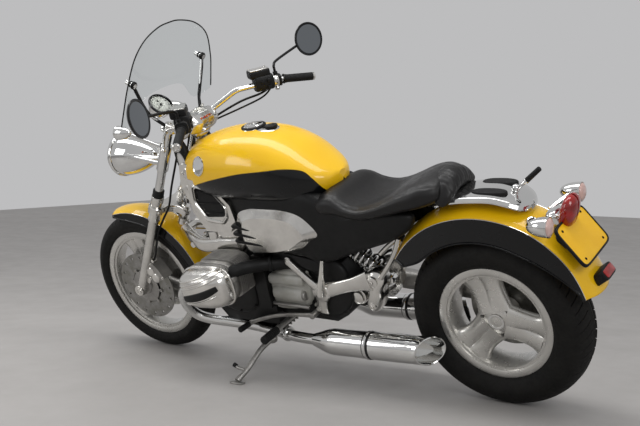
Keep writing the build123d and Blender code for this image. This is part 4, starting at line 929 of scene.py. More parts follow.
def build_speedometer():
    """Round dial: bezel, white face, 41 ticks over 270 degrees, needle and glass."""
    at, out = np.array([1342.0, 0, 1112]), np.array([-0.72, 0, 0.69]) / math.hypot(0.72, 0.69)
    left = np.array([0.0, 1.0, 0.0])
    up = np.cross(left, out) * -1

    def spot(radius, degrees, height):
        a = math.radians(degrees)
        return at + radius * (math.sin(a) * -left + math.cos(a) * up) + height * out

    case = [(-62, 0), (-60, 14), (-50, 28), (-34, 39), (-16, 46), (0, 48.5)]
    bezel = [(0, 51), (4, 52), (9, 50), (10, 47), (8, 44.5), (3, 43.5), (1, 43.5)]
    make("Dial_case", [turned(case + [(1, 48), (1, 0)], at, out, 72)], [CHROME], "fork",
         ["speedometer"], sharp_deg=35)
    make("Dial_bezel", [turned(bezel + [(1, 49), (0, 51)], at, out, 72)], [BLACK_LACQUER], "fork",
         sharp_deg=35)
    make("Dial_face", [turned([(1.2, 0), (1.2, 43.4), (2.0, 43.4), (2.0, 0)], at, out, 64)], [WHITE_DIAL],
         "fork", sharp_deg=30)
    marks = []
    for k in range(41):
        degrees = -135 + 270 * k / 40
        long = 9 if k % 5 == 0 else 5
        marks.append(slab(spot(40 - long, degrees, 2.2), spot(40, degrees, 2.2), 0.9 if long > 5 else 0.5,
                          0.4, up=out, soft=0.2, sides=8))
    marks.append(slab(spot(-9, -62, 3.4), spot(33, -62, 3.4), 1.1, 0.5, up=out, soft=0.3, sides=8))
    marks.append(rod(spot(0, 0, 2), spot(0, 0, 5.5), 4.5))
    marks.append(slab(spot(20, 168, 2.3), spot(20, 192, 2.3), 4, 0.5, up=out, soft=0.5, sides=16))
    make("Dial_marks", marks, [BLACK_ABS], "fork", sharp_deg=30)
    make("Dial_glass", [turned([(7, 0), (6.4, 30), (4.5, 44), (3.6, 44), (5.4, 30), (6, 0)], at, out, 64)],
         [CLEAR_ACRYLIC], "fork", sharp_deg=60)


def build_risers():
    """Handlebar risers: two domed shoulders on a side outline in the fork's own plane, a
    bridge between them with four tell-tale lamps, and the fork's top nuts."""
    line = [(66, 1164), (72, 1180), (62, 1204), (38, 1228), (2, 1232), (-28, 1222), (-32, 1196),
            (-22, 1168), (8, 1160), (40, 1160)]
    outline = smooth_line([fork_point(x, 0, z)[[0, 2]] for x, z in line], 90, closed=True)
    shoulder = dome(outline, 36, 46, flat=3.2, roundness=2.4, ridges=((0.72, 1.6, 0.05),))
    parts = both([shoulder])
    parts += [slab(fork_point(22, -40, 1190), fork_point(22, 40, 1190), 30, 24, up=FORK_UP, power=4),
              slab(fork_point(-20, -22, 1158), fork_point(96, -14, 1160), 20, 11, up=FORK_UP, power=4),
              slab(fork_point(-20, 22, 1158), fork_point(96, 14, 1160), 20, 11, up=FORK_UP, power=4)]
    for side in (1, -1):
        parts += [turned([(0, 0), (0, 20), (6, 21), (10, 19), (12, 14), (12, 8), (8, 7), (8, 0)],
                         fork_point(LEG, side * 90, 1164), FORK_UP, 36),
                  slab(fork_point(30, side * 60, 1160), fork_point(LEG + 10, side * 92, 1159), 26, 10,
                       up=FORK_UP, power=4)]
        for back in (-8, 52):
            parts += [bolt(fork_point(back, side * 60, 1224 - abs(back - 22) * 0.15), FORK_UP, 5, 7)]
    make("Riser_casting", parts, [POLISHED], "fork", sharp_deg=42)
    face = -FORK_AHEAD * 0.55 + FORK_UP * 0.83
    for k, lens in enumerate((GREEN_LENS, AMBER_LENS, RED_LENS, AMBER_LENS)):
        spot = fork_point(-2, 27 - 18 * k, 1214)
        make(f"Telltale_{k}",
             [turned([(-3, 0), (-3, 4.6), (2.0, 4.6), (3.0, 3.4), (3.4, 0)], spot, face, 20)], [lens],
             "fork", sharp_deg=35)


GRIP_END, GRIP_IN = np.array([887.0, 420, 1085]), np.array([960.0, 300, 1112])
BAR_WAY = np.array([110.0, -150, 5]) / np.linalg.norm([110.0, -150, 5])
GRIP_WAY = (GRIP_END - GRIP_IN) / np.linalg.norm(GRIP_END - GRIP_IN)
CONTROL = GRIP_IN + BAR_WAY * 32


def build_hand_controls():
    """Grips with rings r = 15.4 + 0.7 |sin|, switch housings, reservoirs, perches, levers."""
    length = float(np.linalg.norm(GRIP_END - GRIP_IN))
    along = np.linspace(14, length - 10, 150)
    rings = 15.3 + 0.8 * np.abs(np.sin(np.pi * (along - 14)
                                       / 5.2)) ** 0.6 + 1.2 * np.exp(-((along - 18) / 5) ** 2)
    profile = np.concatenate([[(9, 0), (9, 19), (12, 19.5)], np.stack([along, rings], -1),
                              [(length - 8, 15.2), (length - 7.6, 13)]])
    grip = [turned(profile, GRIP_IN, GRIP_WAY, 40)]
    plug = [turned([(length - 9, 0), (length - 9, 15.5), (length - 2, 15.5), (length, 13.5), (length, 9),
                    (length - 2, 7), (length - 2, 0)], GRIP_IN, GRIP_WAY, 40)]
    make("Bar_grips", both(grip), [SOFT_RUBBER], "fork", ["grips"], sharp_deg=35)
    up = np.array([0.0, 0, 1])
    ahead = np.cross(up, -BAR_WAY)
    ahead *= np.sign(ahead[0]) / np.linalg.norm(ahead)

    def bar(along_bar, forward=0, above=0):
        """A point along the bar from the grip's inner end, ahead of it and above it."""
        return GRIP_IN + BAR_WAY * along_bar + ahead * forward + up * above

    house = [slab(bar(2), bar(12), 24, 24, power=3.2, soft=4),
             slab(bar(34, 0, 4), bar(112, 0, 4), 29, 31, power=4, soft=7),
             slab(bar(42, 8, 42), bar(124, 8, 42), 30, 17, power=5, soft=5),
             slab(bar(46, -28, 12), bar(64, -30, 12), 5, 8), slab(bar(72, -28, 10), bar(90, -30, 10), 5, 6),
             slab(bar(50, -27, -12), bar(66, -29, -12), 5, 6)]
    trim = [slab(bar(45, 8, 58), bar(121, 8, 58), 27, 3, power=5, soft=1.5),
            slab(bar(12), bar(34), 22, 22, power=2.8, soft=4),
            slab(bar(22, 8), bar(22, 30, -3), 8, 11, power=3),
            slab(bar(20, 0, -20), bar(24, -8, -34), 12, 9, up=BAR_WAY, power=3),
            bolt(bar(28, 22, 6), up, 4, 4)]
    trim += [bolt(bar(t, 26, 61), up, 2.6, 2) for t in (50, 116)]
    make("Switch_housings", both(house), [BLACK_ABS], "fork", ["controls"])
    make("Lever_perches", both(trim + plug), [POLISHED], "fork")
    tip = GRIP_END + [52, 12, -4]
    path = smooth_line([CONTROL + [14, 8, 0], CONTROL + [33, 26, -3], CONTROL + [44, 44, -6],
                        tip * 0.45 + (CONTROL + [44, 44, -6]) * 0.55 + [3, 0, 0],
                        tip * 0.85 + (CONTROL + [40, 40, -6]) * 0.15, tip], 60)
    wide = np.interp(np.linspace(0, 1, 60), [0, 0.2, 0.9, 1], [6.0, 4.6, 4.0, 4.6])
    tall = np.interp(np.linspace(0, 1, 60), [0, 0.2, 0.9, 1], [7.0, 7.0, 5.0, 4.6])
    blade = carried(ring(20, 1.0, 1.0, 3.0), path, widths=np.stack([wide, tall], -1))
    ball = turned([(8.5 * math.cos(a), 8.5 * math.sin(a)) for a in np.linspace(math.pi, 0, 14)], tip,
                  GRIP_WAY, 24)
    make("Hand_levers", both([blade, ball]), [POLISHED], "fork", ["levers"])


def build_mirrors():
    """Round mirrors: spun shell, wide dark rim, silvered glass, and a bent stem."""
    at, out = np.array([938.0, 500, 1218]), np.array([-1, -0.34, 0.1]) / math.hypot(1, 0.34, 0.1)
    shell = [(-23, 0), (-22, 16), (-18, 38), (-11, 56), (-4, 65), (1, 67.5), (4, 66.5), (4.6, 62.5),
             (3, 58.5), (1, 57.5), (1, 0)]
    glass = [(1.2, 0), (1.2, 57.6), (2.6, 57.6), (3.2, 30), (3.4, 0)]
    shell, glass = [turned(shell, at, out, 72)], [turned(glass, at, out, 72)]
    foot = GRIP_IN + BAR_WAY * 12 + [8, 0, 0]
    stem = [tube([foot + [0, 0, 18], foot + [0, 0, 44], foot + [0, 2, 58],
                  foot * 0.86 + at * 0.14 + [8, 0, 56], foot * 0.3 + at * 0.7 + [14, 0, 18],
                  at + [18, 2, -6]], 5.2, 90, 14), rod(foot + [0, 0, 16], foot + [0, 0, 34], 9.5, sides=6),
            rod(at - out * 18, at - out * 28, 11, 7)]
    make("Mirror_shells", both(shell), [BLACK_LACQUER], "fork", ["mirrors"])
    make("Mirror_glass", both(glass), [MIRROR_GLASS], "fork", sharp_deg=50)
    make("Mirror_stems", both(stem), [BLACK_STEEL], "fork", sharp_deg=45)


def build_fork_details():
    """Fork legs: spun sliders with a collar and a ribbed boot, bright tubes, axle clamps."""
    slider, tubes, boots = [], [], []
    for side in (1, -1):
        foot = fork_point(LEG, side * 90, 0)
        outline = [(AXLE_UP - 22, 0), (AXLE_UP - 22, 16), (AXLE_UP - 18, 21), (AXLE_UP - 8, 23),
                   (AXLE_UP + 60, 23), (AXLE_UP + 74, 22.5), (690, 22), (700, 23), (704, 25.5), (712, 25.5),
                   (716, 23), (790, 23), (800, 26), (824, 26), (828, 24), (828, 0)]
        slider.append(turned(outline, foot, FORK_UP, 48))
        slider.append(rod(fork_point(LEG, side * 56.5, 641), fork_point(LEG, side * 74, 641), 10, soft=2))
        slider += [rod(FRONT_HUB + [0, side * 64, 0], FRONT_HUB + [0, side * 115, 0], 24, soft=3),
                   turned([(0, 0), (0, 15), (5, 15), (6, 13), (6, 7), (3, 6), (3, 0)],
                          FRONT_HUB + [0, side * 114, 0], (0, side, 0), 36),
                   slab(fork_point(LEG - 26, side * 82, 470), fork_point(LEG - 26, side * 82, 500), 12, 9,
                        up=FORK_AHEAD),
                   slab(fork_point(LEG - 30, side * 82, 372), fork_point(LEG - 30, side * 82, 400), 14, 9,
                        up=FORK_AHEAD)]
        tubes.append(turned([(826, 0), (826, 17.6), (1160, 17.6), (1160, 0)], foot, FORK_UP, 40))
        z = np.linspace(828, 858, 40)
        r = 21 + 2.2 * np.abs(np.sin((z - 828) * math.pi / 7.5))
        boots.append(turned([(827, 0), (827, 20)] + list(zip(z, r)) + [(859, 18), (859, 0)], foot, FORK_UP,
                            40))
        route = [(70, 30, 1146), (66, 30, 1080), (62, 34, 980), (54, 46, 870), (40, 60, 785), (44, 76, 725),
                 (50, 88, 650), (47, 86, 540), (52, 84, 492)]
        boots.append(tube([fork_point(x, side * y, z) for x, y, z in route], 4.4, 90, 10))
    make("Fork_sliders", slider, [POLISHED], "fork", ["fork_legs"])
    make("Fork_tubes", tubes, [CHROME], "fork")
    make("Fork_boots_and_hoses", boots, [SOFT_RUBBER], "fork", sharp_deg=50)


def build_bridges():
    """Fork bridges: flat domes that lie across the fork. The lower one is a waisted yoke
    from the ball joint to its two clamps, the top one a shield under the risers."""

    def lying(half, low, tall):
        """Dome on a line that is the same on both sides, in the fork's own plane."""
        line = smooth_line(half + [(x, -y) for x, y in half[::-1]], 90, closed=True)
        grid, cells = dome(line, low + 2, tall - 2, flat=10.0)
        return (FORK_FOOT + grid[..., :1] * FORK_AHEAD + grid[..., 2:] * np.array([0, 1.0, 0])
                + grid[..., 1:2] * FORK_UP, cells)

    parts = [lying([(LEG + 18, 10), (LEG + 20, 50), (LEG + 30, 84), (LEG + 22, 112), (LEG, 121),
                    (LEG - 22, 114), (LEG - 28, 92), (LEG - 30, 66), (LEG - 46, 40), (12, 25), (-14, 21),
                    (-22, 8)], 748, 26),
             lying([(LEG + 20, 12), (LEG + 26, 60), (LEG + 31, 92), (LEG + 20, 116), (LEG, 121),
                    (LEG - 26, 112), (40, 84), (10, 50), (-20, 28), (-26, 10)], 1150, 16),
             rod(fork_point(0, 0, 727), fork_point(0, 0, 786), 17, soft=3),
             rod(fork_point(0, 0, 1031.0), fork_point(0, 0, 1154), 13)]
    for side in (1, -1):
        foot = fork_point(LEG, side * 90, 0)
        parts += [turned([(743, 22), (743, 28), (746, 31), (776, 31), (779, 28), (779, 22), (743, 22)],
                         foot, FORK_UP, 48),
                  rod(fork_point(24, side * 60, 1160), fork_point(24, side * 60, 1204), 20),
                  rod(fork_point(24, side * 43, 1204), fork_point(24, side * 77, 1204), 22)]
        parts += [bolt(fork_point(LEG - 27, side * y, 761), -FORK_AHEAD, 4.5, 5) for y in (76, 104)]
    make("Fork_yokes", parts, [POLISHED], "fork", ["fork_bridges"], sharp_deg=38)


def build_cables():
    """Fixed control cables: smooth lines from the bar's housings to the steering head."""
    lines = []
    for side, drop in ((1, 0), (1, 26), (-1, 0), (-1, 24)):
        start = CONTROL * [1, side, 1] + np.array([12, side * 2, -16 - drop * 0.2])
        lines.append(tube([start, start + [34, side * -34, -22 - drop * 0.5],
                           (1080, side * (178 - drop), 1064 - drop),
                           (1142, side * (112 - drop), 1038 - drop * 0.6),
                           (1200, side * (54 - drop * 0.5), 1006), (1238, side * (40 - drop * 0.3), 984),
                           (1250, side * (34 - drop * 0.3), 962)], 3.6 if drop else 4.4, 90, 10))
    make("Control_cables", lines, [SOFT_RUBBER], "fork", sharp_deg=60)


def build_front_brakes():
    """Disc carriers with eight bobbins, and calipers with two round caps and bolts."""
    carriers, caps = [], []
    for side in (1, -1):
        face = FRONT_HUB + [0, side * 61, 0]
        carriers.append(turned([(0, 17), (0, 66), (2, 72), (4.5, 72), (6, 66), (7, 34), (13, 30), (15, 26),
                                (15, 17), (0, 17)], face, (0, side, 0), 64))
        for k in range(8):
            a = 2 * math.pi * k / 8 + 0.2
            carriers.append(turned([(0, 0), (0, 8), (6, 8), (7, 6), (7, 3), (5.5, 2.5), (5.5, 0)],
                                   round_hub(FRONT_HUB, side * 59, 82, a), (0, side, 0), 18))
            carriers.append(slab(round_hub(FRONT_HUB, side * 62.5, 40, a),
                                 round_hub(FRONT_HUB, side * 62.5, 84, a), 6, 3.0, up=(0, 1, 0)))
        for a in (134, 150):
            caps.append(turned([(0, 0), (0, 21), (4, 21), (6.5, 18), (7.5, 12), (7.5, 0)],
                               round_hub(FRONT_HUB, side * 96, 128, math.radians(a)), (0, side, 0), 36))
        for a, r in ((128, 164), (156, 164), (142, 100)):
            caps.append(bolt(round_hub(FRONT_HUB, side * 97, r, math.radians(a)), (0, side, 0), 5, 5))
    make("Disc_carriers", carriers, [CASTING], "front_wheel", sharp_deg=35)
    make("Caliper_caps", caps, [POLISHED], "fork", sharp_deg=35)


# ------------------------------------------------------------------ engine and frame
def build_cylinders():
    """Cylinders: superellipse barrel, nine thin fins, a finned head, flanges and nuts."""
    parts, dark = [], []

    def disc(y0, y1, wide, tall, soft=0.8, power=5.0):
        return slab((BORE_X, y0, BORE_Z), (BORE_X, y1, BORE_Z), wide, tall, power=power, soft=soft,
                    sides=48)

    parts.append(disc(126, 292, 74, 60, 1, 4))
    for k in range(9):
        parts.append(disc(141 + 9.6 * k, 144.2 + 9.6 * k, 95, 79))
    parts.append(disc(229, 252, 90, 76, 2))
    for k in range(4):
        parts.append(disc(255 + 8.4 * k, 259 + 8.4 * k, 94, 79))
    parts.append(disc(284, 291, 95, 80, 1.5))
    for dx, dz in ((62, 48), (62, -48), (-62, 48), (-62, -48)):
        parts.append(rod((BORE_X + dx, 128, BORE_Z + dz), (BORE_X + dx, 232, BORE_Z + dz), 7))
    parts.append(rod((960, 256, 500), (960, 256, 522), 34, soft=3))
    parts.append(slab((1052, 262, 410), (1052, 262, 430), 36, 22, up=(0, 1, 0), power=3))
    for dx in (-24, 24):
        parts.append(bolt((1052 + dx, 262, 410), (0, 0, -1), 5, 8))
    dark.append(tube([(740, 70, 500), (800, 96, 512), (862, 146, 524), (915, 206, 534), (946, 246, 532),
                      (958, 256, 514)], 25, 70, 32))
    dark += [rod((955, 254, 522), (959, 257, 508), 29), rod((846, 134, 521), (856, 142, 523), 29)]
    make("Finned_cylinders", both(parts), [CASTING], "chassis", ["cylinders"], sharp_deg=35)
    make("Intake_ducts", both(dark), [BLACK_ABS], "chassis", ["intake"], sharp_deg=45)


def build_slot_frames():
    """Polished frames around the side slots, dark mesh behind six slats, and arm bosses."""
    outer = [(1172, 858), (1052, 826), (985, 752), (975, 690), (1010, 640), (1130, 640), (1180, 720)]
    inner = [(1147, 824), (1057, 801), (1008, 742), (1018, 704), (1040, 690), (1110, 700), (1152, 765)]

    def rounded(corners, cut=0.2, count=12):
        """Closed line with each corner cut to a quadratic curve between points near it."""
        corners, out = np.asarray(corners, float), []
        for k, corner in enumerate(corners):
            before, after = corners[k - 1], corners[(k + 1) % len(corners)]
            a, b = corner + (before - corner) * cut, corner + (after - corner) * cut
            t = np.linspace(0, 1, count)[:, None]
            out.append((1 - t) ** 2 * a + 2 * t * (1 - t) * corner + t ** 2 * b)
        return np.concatenate(out)

    big, small = rounded(outer), rounded(inner)
    section = [(0, 113), (0.0, 131), (0.04, 137), (0.12, 142), (0.22, 143), (0.32, 139), (0.42, 132),
               (0.6, 130.5), (0.9, 130), (0.97, 128), (1.0, 122), (1.0, 113)]
    frame_ring = [ring_between(small, big, section)]
    mesh = dome(small, 124.0, 4.2, flat=30.0)
    slats = []
    for k in range(6):
        z = 716 + 19 * k
        span = [x for x, h in small if abs(h - z) < 9]
        if span:
            slats.append(slab((min(span) + 2, 129, z), (max(span) - 2, 129, z), 2.4, 3, up=(0, 0.35, 1),
                              power=4, soft=0.6))
    make("Slot_frames", both(frame_ring), [POLISHED], "chassis", sharp_deg=32)
    make("Slot_slats", both([mesh] + slats), [BLACK_ABS], "chassis", sharp_deg=35)
    parts = []
    arm = smooth_line([(996, 108, 583), (1080, 107, 577), (1190, 103, 563), (1268, 76, 572),
                       (1352, 30, 590)], 60)
    t = np.linspace(0, 1, 60)
    wide = np.interp(t, [0, 0.1, 0.5, 1], [24, 22, 22, 20])
    tall = np.interp(t, [0, 0.1, 0.5, 1], [34, 30, 29, 24])
    parts.append(carried(ring(28, 1, 1, 2.6), arm, widths=np.stack([wide, tall], -1)))
    parts.append(turned([(0, 0), (0, 27), (4, 29), (14, 29), (18, 25), (18, 15), (14, 13), (14, 0)],
                        (1000, 104, 583), (0, 1, 0), 48))
    parts += [bolt((1000, 118, 583), (0, 1, 0), 9, 5)]
    parts += [slab((1128, 116, 628), (1122, 116, 588), 20, 5, up=(0, 1, 0), power=3, soft=3),
              slab((1214, 108, 812), (1160, 113, 706), 22, 7, up=(0, 1, 0), power=3, soft=5),
              slab((1200, 108, 880), (1172, 112, 850), 20, 6, up=(0, 1, 0), power=3, soft=4)]
    for x, z in ((1206, 868), (1196, 806), (1170, 742), (996, 672), (900, 668), (900, 590), (1096, 606)):
        parts.append(bolt((x, 112, z), (0, 1, 0), 6, 6))
    make("Frame_bosses", both(parts), [POLISHED], "chassis", sharp_deg=38)
    lean = np.array([[0.1, 0.995], [-0.995, 0.1]])
    pod = [dome(np.array([1218.0, 920]) + ring(60, 78.0, 0.46, 2.2) @ lean, 70, 24, flat=3.0)]
    # A chrome cap down the middle of each glossy black pod: a painted highlight on the pod.
    pod_highlight = [dome(np.array([1215.0, 906]) + ring(60, 50.0, 0.40, 2.2) @ lean, 86, 11, flat=3.0)]
    make("Head_pods", both(pod), [BLACK_ABS], "chassis")
    make("Head_pod_highlights", both(pod_highlight), [CHROME], "chassis")


CASE_FRONT = 1172  # where the crankcase's front cover stands


def build_crankcase():
    """Crankcase trim: domed side covers, starter, cooling ribs of the sump, belt cover."""
    parts, dark, light = [], [], []
    cover = smooth_line([(1150, 320), (1160, 420), (1150, 500), (1080, 528), (990, 528), (975, 480),
                         (962, 400), (975, 320), (1060, 290)], 90, closed=True)
    dark.append(dome(cover, 126, 12, flat=8.0))
    for x, z in ((1146, 330), (1150, 492), (990, 512), (978, 330), (1060, 300)):
        dark.append(bolt((x, 134, z), (0, 1, 0), 5, 6))
    case = smooth_line([(872, 474), (800, 492), (716, 476), (694, 420), (720, 352), (790, 322), (880, 318),
                        (924, 340), (930, 420), (915, 462)], 90, closed=True)
    light.append(dome(case, 99, 26, flat=4.0, roundness=2.4, ridges=((0.9, 2.0, 0.03),)))
    light.append(slab((884, 118, 452), (722, 116, 452), 20, 21, power=2.6, soft=9))
    light.append(slab((872, 122, 396), (736, 120, 392), 22, 27, power=2.2, soft=8))
    dark.append(slab((850, 104, 545), (640, 100, 506), 12, 26, power=3, soft=8))
    for x, z in ((900, 470), (712, 482), (700, 350), (905, 336), (800, 330)):
        light.append(bolt((x, 106, z), (0, 1, 0), 5.5, 7))
    parts.append(rod((736, 121, 392), (724, 121, 392), 18, soft=3))
    parts.append(rod((884, 132, 352), (716, 132, 348), 7, soft=2))
    for y in range(-66, 67, 22):
        parts.append(slab((1104, y, 204), (916, y, 200), 3, 8, power=4, soft=2))
    parts.append(turned([(0, 0), (0, 15), (5, 15), (6, 13), (6, 0)], (1010, 0, 199), (0, 0, -1), 36))
    front = smooth_line([(0, 545), (58, 520), (86, 440), (80, 340), (40, 282), (0, 274), (-40, 282),
                         (-80, 340), (-86, 440), (-58, 520)], 90, closed=True)
    face, cells = dome(front, 0, 20, flat=4.0, ridges=((0.7, 3.0, 0.03), (0.86, 2.0, 0.02)))
    dark_front = (face[..., [1, 0, 2]] + [CASE_FRONT, 0, 0], cells)
    make("Crankcase_covers", both(dark) + [dark_front], [BLACK_STEEL], "chassis", sharp_deg=38)
    make("Gearbox_covers", both(light), [GREY_ENAMEL], "chassis", sharp_deg=38)
    make("Sump_and_starter", parts, [CASTING], "chassis", sharp_deg=38)


def slashed(start, end, radius, wall, slant, outward, count=72):
    """Tube whose far end is cut on a slant: end + slant cos(a - outward), with a rolled
    lip and an inner skin that is wall thinner."""
    start, end = np.asarray(start, float), np.asarray(end, float)
    length = np.linalg.norm(end - start)
    axis = (end - start) / length
    across = np.cross(axis, [0.0, 0.0, 1.0])
    across /= np.linalg.norm(across)
    third = np.cross(axis, across)
    a = np.linspace(0, 2 * np.pi, count, endpoint=False)[:, None]
    cut = length + slant * np.cos(a - outward)
    far = np.concatenate([0 * cut, cut * 0.5, cut - 6, cut - 1, cut + 1, cut - 1, cut - 8, cut - 60,
                          cut * 0 + 20], 1)
    r = np.array([radius, radius, radius, radius + 1.2, radius - wall / 2, radius - wall, radius - wall,
                  radius - wall, radius - wall])
    r = np.concatenate([np.broadcast_to(r, far.shape), 0 * a], 1)
    far = np.concatenate([far, 0 * a + 20], 1)
    r = np.concatenate([0 * a, r], 1)
    far = np.concatenate([0 * a, far], 1)
    outwards = np.cos(a)[..., None] * across + np.sin(a)[..., None] * third
    points = start + far[..., None] * axis + r[..., None] * outwards
    return points, grid_faces(count, far.shape[1], loop_rows=True)


def build_exhausts():
    """Exhausts: smooth header pipes, tapered silencers with a band, and slash-cut ends."""
    chrome, dark = [], []
    chrome.append(tube([(1060, 261, 462), (1140, 260, 457), (1196, 257, 446), (1240, 244, 408),
                        (1258, 222, 350), (1248, 194, 294), (1206, 166, 262), (1120, 134, 240),
                        (1020, 113, 224), (930, 108, 210), (800, 137, 216), (640, 150, 225),
                        (580, 150, 228)], 21, 190, 36))
    front, rear = np.array([630.0, 150, 226]), np.array([215.0, 150, 243])
    way = (rear - front) / np.linalg.norm(rear - front)
    body = [(-76, 0), (-76, 25), (-70, 27), (-50, 33), (-20, 43), (0, 48), (16, 50), (160, 50), (160, 0)]
    chrome.append(turned(body, front, way, 80))
    chrome.append(turned([(163, 0), (163, 51), (166, 53), (174, 53), (177, 51), (177, 0)], front, way, 80))
    dark.append(turned([(176, 0), (176, 50.4), (178, 52), (187, 52), (189, 50.4), (189, 0)], front, way,
                       80))
    chrome.append(turned([(188, 0), (188, 51), (330, 51), (352, 50.5), (352, 0)], front, way, 80))
    chrome.append(slashed(front + way * 348, front + way * 418, 50.5, 4, 34, math.pi))
    dark.append(turned([(320, 0), (320, 46), (322, 46), (322, 0)], front, way, 48))
    chrome.append(turned([(-6, 21), (-6, 27), (-3, 29), (8, 29), (11, 27), (11, 21)], (860, 122, 213),
                         (-1, 0.2, 0.03), 48))
    make("Exhaust_pipes", both(chrome), [CHROME], "chassis", ["exhausts"], sharp_deg=35)
    make("Exhaust_bands", both(dark), [BLACK_STEEL], "chassis", sharp_deg=35)


def build_shocks():
    """Shock absorbers: damper body, chromed helical spring, collars and eyes."""
    pairs = [("Rear", (402, 24, 446), (566, 24, 566), 31, 6.6, 6.0),
             ("Front", (1262, 0, 566), (1196, 0, 792), 21, 4.6, 8.5)]
    for name, low, top, r, wire, turns in pairs:
        low, top = np.array(low, float), np.array(top, float)
        run = top - low
        coils = [coil(low + run * 0.2, low + run * 0.84, r, wire, turns)]
        coils += [rod(low + run * s, low + run * (s + 0.035), r + 5) for s in (0.165, 0.845)]
        coils += [rod(low + run * 0.06, low + run * 0.2, r * 0.5),
                  rod(low + [0, -18, 0], low + [0, 18, 0], r * 0.6),
                  rod(top + [0, -18, 0], top + [0, 18, 0], r * 0.6)]
        make(name + "_spring", coils, [CHROME], "chassis", ["shock_absorbers"]
             if name == "Rear" else [])
        make(name + "_damper", [rod(low + run * 0.1, low + run * 0.9, r * 0.62)], [GROUND_STEEL], "chassis")


def arm_between(start, end, wide_start, wide_end, thick, count=24):
    """Cast arm: superellipse section that is wide at both ends and waisted between them:
    w = lerp(wide) (0.72 + 0.28 (2 t - 1)^2)."""
    t = np.linspace(0, 1, count)
    path = np.asarray(start, float) + t[:, None] * (np.asarray(end, float) - np.asarray(start, float))
    wide = (wide_start + (wide_end - wide_start) * t) * (0.72 + 0.28 * (2 * t - 1) ** 2)
    return carried(ring(24, 1, 1, 3.0), path, up=(0, 1, 0),
                   widths=np.stack([wide, np.full(count, thick)], -1))


def build_footrest_castings():
    """Star-shaped footrest castings: a hub, four waisted arms, a passenger post and pins."""
    hub = np.array([650.0, 122, 415])
    parts = [turned([(-14, 0), (-14, 38), (4, 39), (9, 35), (11, 24), (16, 23), (18, 19), (18, 0)], hub,
                    (0, 1, 0), 56), arm_between(hub + [6, 2, 8], (776, 124, 532), 20, 15, 10),
             arm_between(hub + [-4, -4, 4], (444, 100, 470), 34, 40, 13),
             arm_between(hub + [4, -4, -10], (672, 112, 330), 36, 30, 12),
             turned([(0, 0), (0, 15), (8, 16), (10, 12), (10, 0)], (776, 118, 532), (0, 1, 0), 36)]
    rear = smooth_line([(470, 492), (430, 506), (396, 492), (388, 462), (404, 420), (412, 384), (440, 340),
                        (470, 328), (486, 352), (470, 392), (462, 430), (474, 462)], 70, closed=True)
    parts += [dome(rear, 66, 38, flat=4.0, back=20.0),
              turned([(0, 0), (0, 20), (8, 20), (11, 15), (11, 0)], (430, 100, 466), (0, 1, 0), 40),
              turned([(0, 0), (0, 15), (8, 15), (10, 11), (10, 0)], (450, 98, 366), (0, 1, 0), 40),
              tube([(402, 88, 478), (352, 90, 540), (318, 92, 590), (296, 90, 640)], 10, 40, 20),
              tube([(402, 60, 560), (360, 62, 596), (300, 66, 640)], 9, 30, 20)]
    for x, y, z in ((776, 126, 532), (430, 110, 466), (672, 120, 340), (450, 106, 366)):
        parts.append(bolt((x, y, z), (0, 1, 0), 6, 6))
    post = smooth_line([(642, 138, 412), (632, 141, 450), (616, 141, 506), (602, 141, 558)], 30)
    t = np.linspace(0, 1, 30)
    parts.append(carried(ring(24, 1, 1, 2.4), post, widths=np.stack([18 - 10 * t, 15 - 8 * t], -1)))
    make("Footrest_castings", both(parts), [POLISHED], "chassis", ["footrest_plates"],
         sharp_deg=38)
    pegs = []
    for side in (1, -1):
        a, b = np.array([868.0, side * 158, 255]), np.array([862.0, side * 262, 259])
        way = (b - a) / np.linalg.norm(b - a)
        s = np.linspace(14, 104, 120)
        r = 15.4 + 1.3 * np.abs(np.sin(math.pi * (s - 14) / 10)) ** 0.5
        pegs.append(turned([(12, 0), (12, 13)] + list(zip(s, r)) + [(106, 13), (106, 0)], a, way, 36))
    pegs.append(rod((998, 176, 268), (998, 233, 272), 11.5, soft=3))
    pegs.append(slab((992, -172, 262), (990, -228, 266), 24, 9, power=4, soft=3))
    make("Footrest_rubbers", pegs, [SOFT_RUBBER], "chassis", sharp_deg=35)
    steel = [rod((868, -190, 255), (868, 190, 255), 10), rod((868, 150, 255), (868, 176, 255), 15),
             rod((868, -150, 255), (868, -176, 255), 15)]
    steel += [tube([(905 - 0.225 * s, 165 + 0.378 * s, 212 + 0.898 * s) for s in (-17, 30)], 9, 6, 24),
              tube([(868, 150, 255), (880, 158, 248), (899, 175, 238)], 9, 16, 16)]
    steel += [arm_between((640, s * 141, 417), (640, s * 128, 412), 16, 16, 14) for s in (1, -1)]
    make("Footrest_bars", steel, [CASTING], "chassis", ["footrests"], sharp_deg=38)


